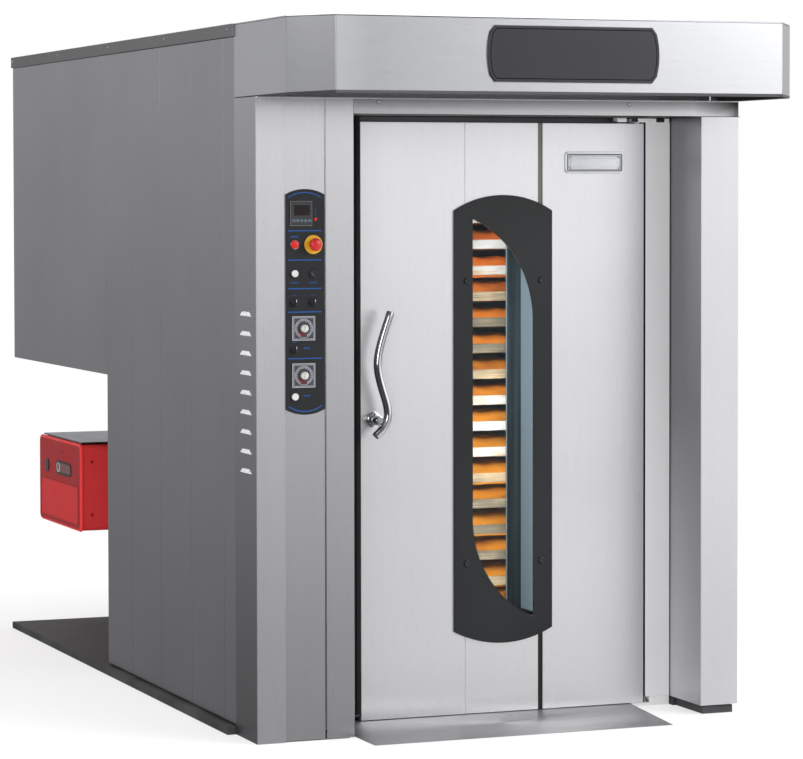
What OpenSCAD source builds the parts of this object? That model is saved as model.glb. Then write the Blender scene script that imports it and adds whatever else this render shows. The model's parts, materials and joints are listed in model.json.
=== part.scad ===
// Rotating rack oven: a wheeled rack of trays hangs on a driven hook and turns in a heated chamber.
// Millimetres. X runs along the front to the right, Y towards the back, Z up.
// Places are measured from the floor point under the front left corner of the left pillar. The
// whole model is then moved so that the middle of its outline stands at the origin.

/* [Body] */
// Depth of the space between the chamber's rear wall and the rear panel
service_depth = 170; // [150:2:190]
// Depth of the heat exchanger housing behind the body
overhang_depth = 1310; // [1250:10:1400]
// Height of the housing's underside
overhang_bottom = 1067; // [1020:1:1120]
// Height of the side panels' top above the canopy's lower edge
hood_h = 193; // [180:1:205]
// Thickness of the insulated side and rear panels
panel_t = 40; // [34:1:44]
// Width of one side panel along the depth
panel_pitch = 340; // [330:2:350]
// Width of the first, narrow side panel
first_panel_w = 117; // [90:1:140]
// Open joint between two side panels
panel_gap = 2; // [1:0.5:4]
// Height of the roof's edge strip
flashing_h = 41; // [30:1:50]
// How far the roof's edge strip stands proud of the panels
flashing_out = 6; // [3:1:10]
// Thickness of the roof deck
deck_t = 30; // [20:1:40]

/* [Base] */
// Thickness of the base frame under the walls
base_t = 25; // [20:1:30]
// How far the base frame shows past the side panels
base_out = 30; // [20:1:32]
// How far the base frame stops short of the rear
base_short = 60; // [40:5:90]
// Thickness of the chamber's floor plate
floor_t = 12; // [10:0.5:14]
// Height of the rail that lifts the panels off the base frame
rail_h = 7; // [4:1:10]
// How far the base frame is set in under the pillars
plinth_in = 12; // [11:1:20]
// Length of the entry ramp in front of the pillars
ramp_run = 150; // [120:5:180]
// Width of the entry ramp along its front edge
ramp_w = 1029; // [980:1:1035]
// How much wider the ramp is at its rear right corner
ramp_flare = 29; // [15:1:29]

/* [Front] */
// Thickness of the folded front sheets
sheet_t = 4; // [3:0.5:5]
// Depth of the pillars' sides, up to the first side panel
pillar_side = 206; // [190:1:215]
// Width of the left pillar's corner strip
corner_w = 95; // [85:1:100]
// Width of the fascia that holds the controls
fascia_w = 133; // [131:1:142]
// Width of the frame strip beside the fascia
strip_w = 96; // [80:1:98]
// How far the door's face lies behind the pillars' face
recess = 228; // [222:1:240]
// Width of the left jamb between the frame strip and the door
jamb_w = 104; // [98:1:108]
// Width of the right pillar
right_pillar_w = 135; // [125:1:150]
// Depth of the door frame from its face to the chamber
frame_depth = 102; // [98:1:108]
// Number of louvres on the left pillar's side
louvre_count = 9; // [5:1:11]
// Distance between two louvres
louvre_pitch = 61.5; // [50:0.5:70]
// Height of the lowest louvre
louvre_z = 845; // [800:5:900]
// Length of a louvre
louvre_l = 100; // [70:2:120]
// Height of a louvre's hood
louvre_h = 12; // [8:1:18]
// How far a louvre's hood stands out
louvre_out = 5; // [3:1:8]

/* [Canopy] */
// Height of the header between the doorway and the canopy
header_h = 52; // [46:1:60]
// How far the canopy reaches in front of the pillars
canopy_forward = 437; // [400:1:470]
// Width of the canopy's cut corners
chamfer_x = 105; // [80:1:130]
// Depth of the canopy's cut corners
chamfer_y = 148; // [120:1:170]
// How far the canopy passes the body's right side
canopy_right_out = 33; // [33:1:60]
// Width of the lip folded in along the canopy's lower edge
lip_w = 25; // [15:1:35]
// Width of the bare name plate
nameplate_w = 578; // [480:2:640]
// Height of the bare name plate
nameplate_h = 172; // [140:1:180]
// Thickness of the bare name plate
nameplate_t = 6; // [4:0.5:10]
// Middle of the name plate, from the left side
nameplate_x = 881; // [840:1:920]

/* [Door] */
// Width of the door
door_w = 1008; // [1000:1:1016]
// Top of the door
door_top = 1945; // [1935:1:1948]
// Gap between the door and the ramp's flat rear part
door_lift = 2; // [1.5:0.5:4]
// Gap between the door's left edge and the jamb
door_gap = 4; // [3:0.5:6]
// Thickness of the door's outer leaf
leaf_t = 40; // [36:1:42]
// Depth of the insulated plug behind the leaf
plug_t = 72; // [60:1:74]
// How far the plug is set in from the leaf's free edge and top
plug_in = 24; // [22:1:28]
// How far the door frame's stop overlaps the leaf
stop_lap = 14; // [12:1:16]
// Thickness of the door's gasket
gasket_t = 3.4; // [2.5:0.1:5]
// Distance of the hinge axis from the door's right edge
pivot_in = 20; // [16:1:22]
// Distance of the hinge axis behind the door's face
pivot_back = 14; // [12:1:16]
// Radius of the two hinge pins
pivot_r = 8; // [6:0.5:9]
// Length of a hinge pin inside the door
pivot_len = 30; // [20:1:40]
// Gap between the door's right edge and the hinge post
hinge_gap = 7; // [6.5:0.5:9]
// Width of the hinge post
post_w = 89; // [80:1:92]
// Thickness of the hinge brackets above the door
bracket_t = 12; // [8:1:14]
// Gap between the door and the bracket above it
bracket_gap = 4; // [2:0.5:5]

/* [Window] */
// Distance of the window's black frame from the door's left edge
mask_left = 323; // [300:1:340]
// Width of the window's black frame
mask_w = 349; // [330:1:360]
// Height of the lower corners of the black frame
mask_z0 = 285; // [260:1:300]
// Height of the upper corners of the black frame
mask_z1 = 1658; // [1645:1:1690]
// Rise of the black frame's upper arc
mask_rise = 51; // [30:1:70]
// Drop of the black frame's lower arc
mask_drop = 44; // [30:1:60]
// Thickness of the black frame
mask_t = 6; // [4:0.5:8]
// Distance of the clear glass from the black frame's left edge
clear_left = 64; // [58:1:70]
// Width of the clear glass
clear_w = 219; // [200:1:222]
// Distance of the clear glass's lowest point above the frame's lower corners
clear_low = 34; // [26:1:50]
// Distance of the clear glass's highest point below the frame's upper corners
clear_high = 24; // [20:1:40]
// Height over which the clear glass curves in
clear_curve = 332; // [260:2:360]
// Thickness of the glass panes
glass_t = 6; // [4:0.5:8]
// Width of the lamp housing beside the clear glass
lamp_w = 51; // [40:1:56]
// Width of the black border that shows on the inner pane
inner_border = 45; // [30:1:60]
// Radius of the fixings of the black frame
fixing_r = 9; // [6:0.5:12]

/* [Handle] */
// Distance of the handle's spindle from the door's left edge
handle_in = 43; // [40:1:48]
// Height of the handle's spindle
handle_z = 986; // [900:1:1050]
// Radius of the handle's spindle
spindle_r = 8; // [6:0.5:10]
// Radius of the plate under the handle
rose_r = 26; // [22:1:32]
// Thickness of the plate under the handle
rose_t = 12; // [6:1:14]
// Radius of the handle's hub
hub_r = 16; // [13:0.5:19]
// Distance of the lever's middle from the door's face
lever_off = 60; // [50:1:70]
// Radius of the lever's bar
lever_r = 11; // [9:0.5:13]

/* [Control panel] */
// Width of the black control panel
panel_w = 128; // [122:1:129]
// Height of the control panel between its two arcs' tops
panel_h = 704; // [700:1:740]
// Height of the control panel's lowest point
panel_z = 1025; // [980:1:1060]
// Rise of the arcs at the panel's ends
panel_rise = 17; // [10:1:24]
// Thickness of the control panel
plate_t = 5; // [3:0.5:7]
// Distance of the two columns of controls from the panel's middle
column = 31; // [29:0.5:33]
// Width of the temperature controller
controller_w = 71; // [62:1:78]
// Height of the temperature controller
controller_h = 77; // [70:1:84]
// Width and height of a timer
timer_w = 76; // [72:1:78]
// Radius of the push buttons
button_r = 11; // [9:0.5:12]
// Travel of the push buttons
button_travel = 4; // [2:0.5:6]
// Radius of the emergency button's yellow plate
ring_r = 30; // [24:1:30]
// Radius of the emergency button's head
mushroom_r = 20; // [17:0.5:22]
// Radius of the selector switches
selector_r = 11; // [9:0.5:12]
// Radius of the timer knobs
knob_r = 12; // [9:0.5:14]

/* [Chamber] */
// How far the chamber is wider than the door, on each side
chamber_side = 32; // [30:1:36]
// Inner depth of the chamber behind the door frame
chamber_depth = 1106; // [1080:2:1120]
// How far the chamber's ceiling lies under the door's top
chamber_drop = 5; // [2:1:10]
// Thickness of the chamber's lining sheets
liner_t = 4; // [2:0.5:5]
// Thickness of the mineral wool round the chamber
wool_t = 54; // [40:1:58]
// Depth of the air channel in front of the chamber's rear wall
diffuser_depth = 30; // [24:1:36]

/* [Heat and air] */
// Radius of the firebox
firebox_r = 230; // [200:2:240]
// Length of the firebox
firebox_l = 940; // [880:5:980]
// Height of the firebox's axis, which is the burner's
burner_z = 606; // [590:1:620]
// Distance of the burner's axis behind the body
burner_back = 867; // [840:1:900]
// Width of the burner's red cover, front to back
cover_w = 590; // [540:2:620]
// Height of the burner's red cover
cover_h = 332; // [320:1:360]
// Depth of the burner's red cover, left to right
cover_d = 300; // [260:2:320]
// Distance of the burner's red cover from the body's left side
cover_x = 60; // [50:1:70]
// Distance of the exchanger casing's left wall from the body's left side
casing_x = 480; // [470:1:500]
// Radius of the burner's blast tube
blast_r = 70; // [60:1:80]
// Outer radius of the flue collar
flue_r = 100; // [80:1:110]
// Outer radius of the vapour collar
vapour_r = 75; // [60:1:80]
// Wall of the collars
collar_wall = 3; // [2:0.5:4]
// Height of the collars above the roof deck
collar_h = 120; // [90:1:130]
// Radius of the fan wheel
fan_r = 230; // [180:2:250]
// Radius of the fan's shaft
fan_shaft_r = 12; // [10:0.5:16]
// Radius of the gas and water pipes
pipe_r = 14; // [11:0.5:17]
// Wall of the gas and water pipes
pipe_wall = 3; // [2:0.5:4]

/* [Rack] */
// Width of the rack
rack_w = 580; // [560:2:590]
// Length of the rack
rack_l = 780; // [760:2:786]
// Number of shelves
levels = 18; // [12:1:18]
// Distance between two shelves
level_pitch = 87; // [80:1:88]
// Height of the lowest shelf
first_level = 222; // [214:1:250]
// Side of the rack's square posts
post = 25; // [20:1:30]
// Height of a baking tray's rim
tray_h = 32; // [20:1:40]
// Thickness of a baking tray
tray_t = 2; // [1:0.5:3]
// Number of loaves on a tray, front to back
loaf_rows = 6; // [5:1:7]
// Gap between two loaves
loaf_gap = 6; // [2:1:12]
// Gap between the outer loaves and the tray's rim
loaf_edge = 13; // [6:1:20]
// Radius of the rack's drive shaft
shaft_r = 20; // [16:0.5:25]
// Radius of the pin that carries the rack
hook_r = 12; // [9:0.5:14]
// Radius of the rack's wheels
wheel_r = 50; // [44:1:54]
// Width of the rack's wheels
wheel_w = 28; // [22:1:32]
// How far a wheel trails behind its swivel
trail = 30; // [20:1:34]
// Clearance between the hanging rack's wheels and the floor
wheel_lift = 12; // [6:1:16]

/* [Hidden] */
$fn = 64;

// Clearances
seam = 0.4;     // open joint between two sheets that are fixed side by side
seat = 0.3;     // gap under a piece that rests on or turns in another
running = 0.05; // radial clearance of a pin or shaft in its bore
over = 1;       // how far a cutter passes the face that it cuts
stop_gap = 10;  // room between the door's plug and its stop
turn_gap = 1;   // clearance of the turning leaf's rear corner at the stop
post_lap = 13;  // how far the hinge post reaches behind the stop's face
sweep_gap = 20; // room between the door and the corners of the turning rack

// Front, from left to right
fascia_x0 = corner_w;
strip_x0 = fascia_x0 + fascia_w + 3;
frame_x = fascia_x0 + fascia_w + strip_w;
door_x0 = frame_x + jamb_w + door_gap;
door_x1 = door_x0 + door_w;
door_mid = (door_x0 + door_x1) / 2;
post_x0 = door_x1 + hinge_gap;
post_x1 = post_x0 + post_w;
pillar_x = post_x1 + 3;

// Door and its frame, from front to back
leaf_y = recess;
leaf_back = leaf_y + leaf_t;
stop_y = leaf_back + gasket_t + 2 * seat;
chamber_y0 = leaf_y + frame_depth;
plug_back = leaf_back + seat + plug_t;
door_z0 = floor_t - 1 + door_lift;
bracket_z = door_top + bracket_gap;
header_z = bracket_z + bracket_t + 3;
canopy_bottom = header_z + header_h;
panel_top = canopy_bottom + hood_h;
pivot_x = door_x1 - pivot_in;
pivot_y = leaf_y + pivot_back;
stop_x0 = door_x0 + stop_lap;
leaf_sweep = norm([pivot_in, leaf_back - pivot_y]);
stop_out = pivot_x - sqrt(pow(leaf_sweep, 2) - pow(stop_y - pivot_y, 2)) - turn_gap;
stop_x1 = stop_out - stop_lap;
stop_z = door_top - plug_in;
post_back = stop_y + post_lap;
plug_x0 = door_x0 + plug_in;
plug_x1 = stop_x1 - stop_gap;

// Chamber, centred on the door
chamber_x0 = door_x0 - chamber_side;
chamber_x1 = door_x1 + chamber_side;
chamber_y1 = chamber_y0 + chamber_depth;
liner_x0 = chamber_x0 - liner_t;
liner_x1 = chamber_x1 + liner_t;
chamber_top = door_top - chamber_drop;
liner_z1 = chamber_top + liner_t;
wool_z1 = liner_z1 + seam + wool_t;
rack_y = plug_back + sweep_gap + norm([rack_w, rack_l]) / 2;

// Body
roof_z = panel_top + seam;
oven_h = roof_z + flashing_h;
panel_bottom = base_t + rail_h;
foot_gap = 4;              // gap under the fascia and the strip beside it
screw_in = [84, 164];      // the header's screws, from the strip and from the door's right edge
screw_drop = 15;           // and under the canopy
body_w = pillar_x + right_pillar_w;
body_depth = chamber_y1 + liner_t + service_depth + panel_t;
rear_y = body_depth + overhang_depth;
base_rear = rear_y - base_short;
panel_starts = [pillar_side + seam, for (y = [pillar_side + first_panel_w : panel_pitch
    : body_depth - panel_pitch / 2]) y];
inner_x0 = panel_t + seam;
inner_x1 = body_w - panel_t - seam;

// Window
mask_x0 = door_x0 + mask_left;
mask_x1 = mask_x0 + mask_w;
clear_x0 = mask_x0 + clear_left;
clear_x1 = clear_x0 + clear_w;
clear_z0 = mask_z0 + clear_low;
clear_z1 = mask_z1 - clear_high;
curve_r = (pow(clear_w, 2) + pow(clear_curve, 2)) / (2 * clear_w);
tunnel_x0 = clear_x0 - 7;
tunnel_x1 = clear_x1 + seat + lamp_w + seat;
tunnel_z0 = clear_z0 + 6;
tunnel_z1 = clear_z1 - 6;
pane_y = leaf_y + 2;
mask_front = leaf_y - seat - mask_t;

// Controls
panel_x = fascia_x0 + 1 + fascia_w / 2;
plate_y = sheet_t - seat - plate_t;
controls_x = panel_x - 5;     // middle between the two columns of controls
timers_x = panel_x - 7;
controller_x = panel_x - 14;
left_col = controls_x - column;
right_col = controls_x + column;
rows = [57, 123, 205, 270, 351, 441, 531, 628]; // rows of controls, above the panel's lowest point
steam_z = panel_z + rows[0];
timer_2_z = panel_z + rows[1];
selector_3_z = panel_z + rows[2];
timer_1_z = panel_z + rows[3];
selector_z = panel_z + rows[4];
push_z = panel_z + rows[5];
stop_button_z = panel_z + rows[6];
controller_z = panel_z + rows[7];
frame_t = 3;               // front frames of the controller and the timers
frame_step = 5;            // how far their bodies are set in from the frames
controller_d = 78;         // depth of the controller behind the panel's face
timer_d = 70;              // depth of a timer behind the panel's face
collar_out = 4;            // thickness of the buttons' collars
collar_rim = 4;            // width of a push button's collar
bezel_y = plate_y - seat - collar_out;
button_out = 3;            // how far a push button stands out of its collar
hub = [14, 8];             // collar on the emergency button's plate: radius, length
mushroom_l = 16;           // length of the emergency button's head
stop_stem_r = 10;          // stem of the emergency button
lamp_r = 13;               // cap of the red lamp
lamp_stem_r = 9.5;         // stem of the red lamp
selector_l = 7;            // round part of a selector switch
grip = [6, 7];             // its grip: width, and height over the round part
stem_r = 7;                // stem of a selector switch
knob_l = 14;               // round part of a timer knob
knob_grip = [5, 4];        // its grip: width, and height over the round part
knob_stem = [4, 17];       // its stem: radius and length
block_y = 26;              // front of the contact blocks
block = [24, 34, 28];      // a contact block
sleeve_wall = 2.5;         // wall of the sleeve that carries it
handle_x = door_x0 + handle_in;
rose_front = leaf_y - seat - rose_t;

// Heat and air
cover_corner = 26;
reset_r = 25;              // reset button in the burner's cover
reset_at = [172, 54];      // its place, from the middle of the cover
window_at = [-64, 57];     // middle of the cover's oval window
window_size = [212, 52];   // length and height of the oval window
flange_t = 10;             // rim of the burner behind its cover
burner_gap = 40;           // room between the casing and the firebox
burner_y = body_depth + burner_back;
firebox_x = casing_x + panel_t + burner_gap;
bank_z0 = burner_z + firebox_r + 24;
bank_h = 780;              // height of the tube bank
bank_z1 = bank_z0 + bank_h;
bank_r = 38;               // radius of a tube
bank_pitch = [150, 130];   // distances between the tubes
header_box_h = 80;
header_box = [840, 440];
header_gap = 20;           // room round the tube bank where it passes the housing's floor
bank_x = firebox_x + firebox_l / 2;
fan_off = [-193, -227];    // fan's axis, from the tube bank's middle
fan_at = [bank_x, burner_y] + fan_off;
fan_drop = 309;            // fan's disc under the top of the side panels
fan_z = panel_top - fan_drop;
fan_hub = [40, 70];        // radius and height of the fan's hub
blade = [90, 4, 120];      // a blade of the fan
motor = [88, 118];         // fan motor: radius and height
motor_foot = [120, 12];    // its foot on the roof deck
motor_rib = [18, 6, 80];   // a rib of the motor
motor_box = [90, 40, 60];  // its terminal box
motor_bore = 60;           // depth of its bore for the fan's shaft
flue_off = [270, 133];     // flue's axis, from the tube bank's middle
flue_at = [bank_x, burner_y] + flue_off;
vapour_off = [236, 186];   // steam outlet, from the door's middle and the chamber's rear wall
vapour_at = [door_mid - vapour_off.x, chamber_y1 - vapour_off.y];
collar_flange = [30, 3];   // width and thickness of a collar's flange on the roof
damper_up = 80;            // damper's rod over the insulation
damper_z = wool_z1 + damper_up;
damper_rod_r = 4;
damper_lever = [6, 46, 12];

// Steam generator: two side frames and a stack of channels
steam_gap = 8;             // room in front of it and behind it
steam_in = 30;             // its left side, from the chamber lining's left side
steam_w = 608;
steam_frame_t = 8;
steam_top = 920;
channel_z = 180;
channel_pitch = 78;
channel_h = 40;
channel_wall = 6;
channel_count = 9;
water_z = 850;             // height of the water pipe
water_in = 40;             // its bend, from the rear of the generator
water_y = body_depth - panel_t - steam_gap - water_in;
water_out = 60;            // how far it stands out of the rear panel

// Rack
wheel_z = floor_t + wheel_lift + wheel_r;
fork_top = wheel_z + wheel_r + 8;
rack_z0 = fork_top + seat;
rack_foot = 26;
rack_top = first_level + levels * level_pitch;
tray_w = rack_w - 2 * post - 2;
tray_l = rack_l - 40;
caster_at = [rack_w / 2 - 70, rack_l / 2 - 70];
hook_z = rack_top + 46;
hook_eye = hook_r + 14;
loaf_r = (tray_l - 2 * tray_t - 2 * loaf_edge - (loaf_rows - 1) * loaf_gap) / 2 / loaf_rows;
loaf_end = 15;              // what a loaf leaves free at each end, up to the tray's rim
drive_z = wool_z1 + seam;
drive_foot = [90, 14];      // geared motor's foot: radius and thickness
drive_neck = [55, 40];      // neck over the foot
drive_box = [190, 150, 100]; // its gear case
drive_motor = [58, 210];    // its motor: radius and length
drive_axis = 80;            // height of the motor's axis over the foot
drive_bore = 114;           // depth of the bore for the shaft
shaft_gap = 4;              // room over the shaft in its bore
shaft_top = drive_z + drive_bore - shaft_gap;

// Outline of the canopy, from the rear left corner round the front to the rear right corner
canopy_x1 = body_w + canopy_right_out;
canopy_top = oven_h - sheet_t - seam;
canopy_line = [[0, pillar_side - seam], [0, chamfer_y - canopy_forward],
    [chamfer_x, -canopy_forward], [canopy_x1 - chamfer_x, -canopy_forward],
    [canopy_x1, chamfer_y - canopy_forward], [canopy_x1, pillar_side - seam]];
canopy_inner = [[sheet_t, pillar_side - seam], [sheet_t, chamfer_y - canopy_forward + mitre(sheet_t)],
    [chamfer_x + fold(sheet_t), sheet_t - canopy_forward],
    [canopy_x1 - chamfer_x - fold(sheet_t), sheet_t - canopy_forward],
    [canopy_x1 - sheet_t, chamfer_y - canopy_forward + mitre(sheet_t)],
    [canopy_x1 - sheet_t, pillar_side - seam]];

// Middle of the outline
front_y = -canopy_forward - nameplate_t - seat;
mid_x = (canopy_x1 - base_out) / 2;
mid_y = (front_y + rear_y + flashing_out) / 2;

// How far the inner corner of a folded sheet of thickness t moves along the side and the front
function half_turn_side() = (90 - atan2(chamfer_y, chamfer_x)) / 2;
function half_turn_front() = atan2(chamfer_y, chamfer_x) / 2;
function mitre(t) = t * tan(half_turn_side());
function fold(t) = t * tan(half_turn_front());

// Points of a flat arc from a to b that rises by rise to the left of the way from a to b
function arc(a, b, rise, n = 24) =
    let (chord = norm(b - a), r = (pow(chord / 2, 2) + pow(rise, 2)) / (2 * rise),
        along = (b - a) / chord, up = [-along.y, along.x], half = asin(chord / 2 / r))
    [for (i = [0 : n]) let (t = half * (2 * i / n - 1))
        (a + b) / 2 + along * r * sin(t) + up * (r * cos(t) - r + rise)];

// Point i of a ring of n points of radius r round the origin
function ring(r, n) = [for (i = [0 : n - 1]) r * [cos(360 * i / n), sin(360 * i / n)]];

module oven() translate([-mid_x, -mid_y, 0]) children();

module slab(x0, x1, y0, y1, z0, z1) translate([x0, y0, z0]) cube([x1 - x0, y1 - y0, z1 - z0]);

// Cylinders along X, Y and Z that start at the point p
module rod_x(p, r, l) translate(p) rotate([0, 90, 0]) cylinder(r = r, h = l);
module rod_y(p, r, l) translate(p) rotate([-90, 0, 0]) cylinder(r = r, h = l);
module rod_z(p, r, l) translate(p) cylinder(r = r, h = l);

// A flat shape in X and Z, extruded from y0 to y1
module face_plate(y0, y1) translate([0, y1, 0]) rotate([90, 0, 0]) linear_extrude(y1 - y0) children();

module base_plate() color("#3b3b3e") oven() {
    slab(-base_out, frame_x, pillar_side + seam, base_rear, 0, base_t);
    slab(plinth_in, frame_x - plinth_in, plinth_in, pillar_side, 0, base_t);
    slab(frame_x + seam, liner_x0 - seam, stop_y, base_rear, 0, base_t);
    slab(liner_x0, liner_x1, stop_y, chamber_y1 + liner_t, 0, floor_t);
    slab(liner_x0, liner_x1, chamber_y1 + liner_t + seam, base_rear, 0, base_t);
    slab(liner_x1 + seam, pillar_x, post_back + seam, base_rear, 0, base_t);
    slab(pillar_x + seam, body_w + base_out, pillar_side + seam, base_rear, 0, base_t);
    slab(pillar_x + plinth_in, body_w - plinth_in, plinth_in, pillar_side, 0, base_t);
    for (x = [8, body_w - panel_t + 8])
        slab(x, x + panel_t - 16, pillar_side + seam, body_depth - seam, base_t, panel_bottom - seat);
}

// One wall of side panels, its outer face at x = 0 and its thickness towards +X
module side_wall() {
    for (i = [0 : len(panel_starts) - 1]) {
        y1 = i + 1 < len(panel_starts) ? panel_starts[i + 1] : body_depth;
        slab(0, panel_t, panel_starts[i], y1 - panel_gap, panel_bottom, panel_top);
    }
    slab(0, panel_t, body_depth, rear_y, overhang_bottom, panel_top);
}

module left_side_panels() color("#77787b") oven() side_wall();

module right_side_panels() color("#77787b") oven() translate([body_w, 0, 0]) mirror([1, 0, 0]) side_wall();

module rear_panels() color("#77787b") oven() {
    hole_x = [bank_x - header_box.x / 2 - header_gap, bank_x + header_box.x / 2 + header_gap];
    hole_y = [burner_y - header_box.y / 2 - header_gap, burner_y + header_box.y / 2 + header_gap];
    shelf = [overhang_bottom, overhang_bottom + panel_t];
    difference() {
        slab(inner_x0, inner_x1, body_depth - panel_t, body_depth, panel_bottom, overhang_bottom - seam);
        rod_y([frame_x, body_depth - panel_t - over, water_z], pipe_r + 1, panel_t + 2 * over);
    }
    slab(inner_x0, inner_x1, rear_y - panel_t, rear_y, overhang_bottom, panel_top);
    slab(inner_x0, inner_x1, body_depth, hole_y[0], shelf[0], shelf[1]);
    slab(inner_x0, inner_x1, hole_y[1], rear_y - panel_t - seam, shelf[0], shelf[1]);
    slab(inner_x0, hole_x[0], hole_y[0] + seam, hole_y[1] - seam, shelf[0], shelf[1]);
    slab(hole_x[1], inner_x1, hole_y[0] + seam, hole_y[1] - seam, shelf[0], shelf[1]);
    slab(inner_x0, inner_x1, body_depth - panel_t, body_depth - seam, wool_z1 + seam,
        panel_top - deck_t - seam);
}

module roof_deck() color("#8b8c8f") oven() {
    difference() {
        slab(inner_x0, inner_x1, pillar_side + seam, rear_y - panel_t - seam, panel_top - deck_t, panel_top);
        rod_z([flue_at.x, flue_at.y, panel_top - deck_t - over], flue_r + 1, deck_t + 2 * over);
        rod_z([vapour_at.x, vapour_at.y, panel_top - deck_t - over], vapour_r + 1, deck_t + 2 * over);
        rod_z([fan_at.x, fan_at.y, panel_top - deck_t - over], fan_shaft_r + 4, deck_t + 2 * over);
    }
    for (x = [-flashing_out, body_w - panel_t])
        slab(x, x + panel_t + flashing_out, pillar_side + seam, rear_y + flashing_out, roof_z, oven_h);
    slab(inner_x0, inner_x1, rear_y - panel_t, rear_y + flashing_out, roof_z, oven_h);
}

module left_pillar() color("#9fa1a4") oven() {
    louvre_y = (pillar_side - louvre_l) / 2;
    slab(0, corner_w - seam, 0, sheet_t, 0, canopy_bottom - seam);
    difference() {
        slab(0, sheet_t, sheet_t + seam, pillar_side, 0, canopy_bottom - seam);
        for (i = [0 : louvre_count - 1])
            translate([-over, louvre_y + 8, louvre_z + i * louvre_pitch - 1])
                cube([sheet_t + 2 * over, louvre_l - 16, louvre_h / 3]);
    }
    for (i = [0 : louvre_count - 1]) translate([0, louvre_y, louvre_z + i * louvre_pitch])
        rotate([-90, 0, 0]) linear_extrude(louvre_l)
            polygon([[0.5, 0], [-louvre_out, 0], [-louvre_out, -1], [0, -louvre_h], [0.5, -louvre_h]]);
}

module control_fascia() color("#9fa1a4") oven() difference() {
    slab(fascia_x0, fascia_x0 + fascia_w, sheet_t, 2 * sheet_t, foot_gap, canopy_bottom - seam);
    slab(panel_x - panel_w / 2 + 8, panel_x + panel_w / 2 - 8, 0, 3 * sheet_t,
        panel_z + panel_rise + 6, panel_z + panel_h - panel_rise - 6);
}

module front_frame() color("#b4b5b7") oven() {
    slab(strip_x0, frame_x, 0, sheet_t, foot_gap, canopy_bottom - seam);
    slab(frame_x - sheet_t, frame_x, sheet_t + seam, chamber_y0, panel_bottom, canopy_bottom - seam);
    slab(strip_x0 - 2, strip_x0 + 18, sheet_t + seam, 2 * sheet_t, panel_bottom, canopy_bottom - seam);
    slab(frame_x + seam, liner_x0 - seam, leaf_y + 4, chamber_y0, base_t + seat, header_z - seam);
    slab(liner_x0, door_x0 - door_gap, leaf_y + 4, stop_y - seam, base_t + seat, header_z - seam);
    slab(liner_x0, stop_x0, stop_y, chamber_y0, floor_t + seat, header_z - seam);
    slab(stop_x0 + seam, stop_x1, stop_y, chamber_y0, stop_z, header_z - seam);
    slab(stop_x1 + seam, stop_out, stop_y, chamber_y0, floor_t + seat, header_z - seam);
    slab(stop_out + seam, liner_x1, post_back + seam, chamber_y0, floor_t + seat, header_z - seam);
    // header in the plane of the pillars, with the lintel behind it
    slab(frame_x + seam, body_w, 0, sheet_t, header_z, canopy_bottom - seam);
    slab(frame_x + seam, body_w, sheet_t + seam, pillar_side, header_z, header_z + sheet_t);
    slab(body_w - sheet_t, body_w, sheet_t + seam, pillar_side, header_z + sheet_t + seam,
        canopy_bottom - seam);
    slab(frame_x + seam, inner_x1, pillar_side + seam, chamber_y0, header_z, canopy_bottom - seam);
    // wall over the header, behind the canopy
    slab(inner_x0, inner_x1, pillar_side + seam, leaf_y + sheet_t, canopy_bottom, panel_top - deck_t - seam);
    for (x = [frame_x + screw_in[0], door_x1 - screw_in[1]])
        rod_y([x, -2, canopy_bottom - screw_drop], 5, 3);
}

module right_pillar() color("#9fa1a4") oven() {
    foot_z = base_t + 4;
    slab(pillar_x, body_w, 0, sheet_t, foot_z, header_z - seam);
    slab(pillar_x, pillar_x + sheet_t, sheet_t + seam, chamber_y0, foot_z, header_z - seam);
    slab(body_w - sheet_t, body_w, sheet_t + seam, pillar_side, foot_z, header_z - seam);
}

module hinge_post() color("#b9babd") oven() {
    block_x = post_x0 + 16;
    // post with the bracket that holds the upper pin
    slab(post_x0, post_x1, leaf_y, post_back, base_t + rail_h, bracket_z);
    slab(pivot_x - 24, post_x1, leaf_y, pivot_y + 20, bracket_z, bracket_z + bracket_t);
    rod_z([pivot_x, pivot_y, bracket_z - bracket_gap - pivot_len], pivot_r, pivot_len + bracket_gap + 1);
    // block under the post, with the arm that holds the lower pin
    slab(block_x, post_x1, leaf_y, stop_y - seam, 0, base_t + rail_h - seam);
    slab(pivot_x - 22, block_x + 1, leaf_y + 2, pivot_y + 20, 0, floor_t - seam);
    rod_z([pivot_x, pivot_y, floor_t - seam - 1], pivot_r, door_z0 - floor_t + seam + 1 + pivot_len);
}

// Wall i of the canopy, between two corners of its outline
module canopy_wall(i) {
    along = (canopy_line[i + 1] - canopy_line[i]) / norm(canopy_line[i + 1] - canopy_line[i]) * seam / 2;
    translate([0, 0, canopy_bottom]) linear_extrude(canopy_top - canopy_bottom)
        polygon([canopy_line[i] + along, canopy_line[i + 1] - along,
            canopy_inner[i + 1] - along, canopy_inner[i] + along]);
}

module canopy_shell() color("#b7b8ba") oven() {
    for (i = [0 : len(canopy_line) - 2]) canopy_wall(i);
    slab(body_w + seam, canopy_x1 - sheet_t - seam, pillar_side - seam - sheet_t, pillar_side - seam,
        canopy_bottom, canopy_top);
    translate([0, 0, canopy_top + seam]) linear_extrude(sheet_t) polygon(canopy_line);
    // lips folded in along the lower edge
    slab(chamfer_x + sheet_t, canopy_x1 - chamfer_x - sheet_t, sheet_t + seam - canopy_forward,
        sheet_t + lip_w - canopy_forward, canopy_bottom, canopy_bottom + sheet_t);
    for (x = [sheet_t + seam, canopy_x1 - sheet_t - lip_w])
        slab(x, x + lip_w - seam, chamfer_y - canopy_forward + 20, -seam, canopy_bottom,
            canopy_bottom + sheet_t);
}

module canopy_nameplate() color("#1a1a1c") oven()
    face_plate(front_y, -canopy_forward - seat)
        polygon(concat(nameplate_side(1), nameplate_side(-1)));

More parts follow.
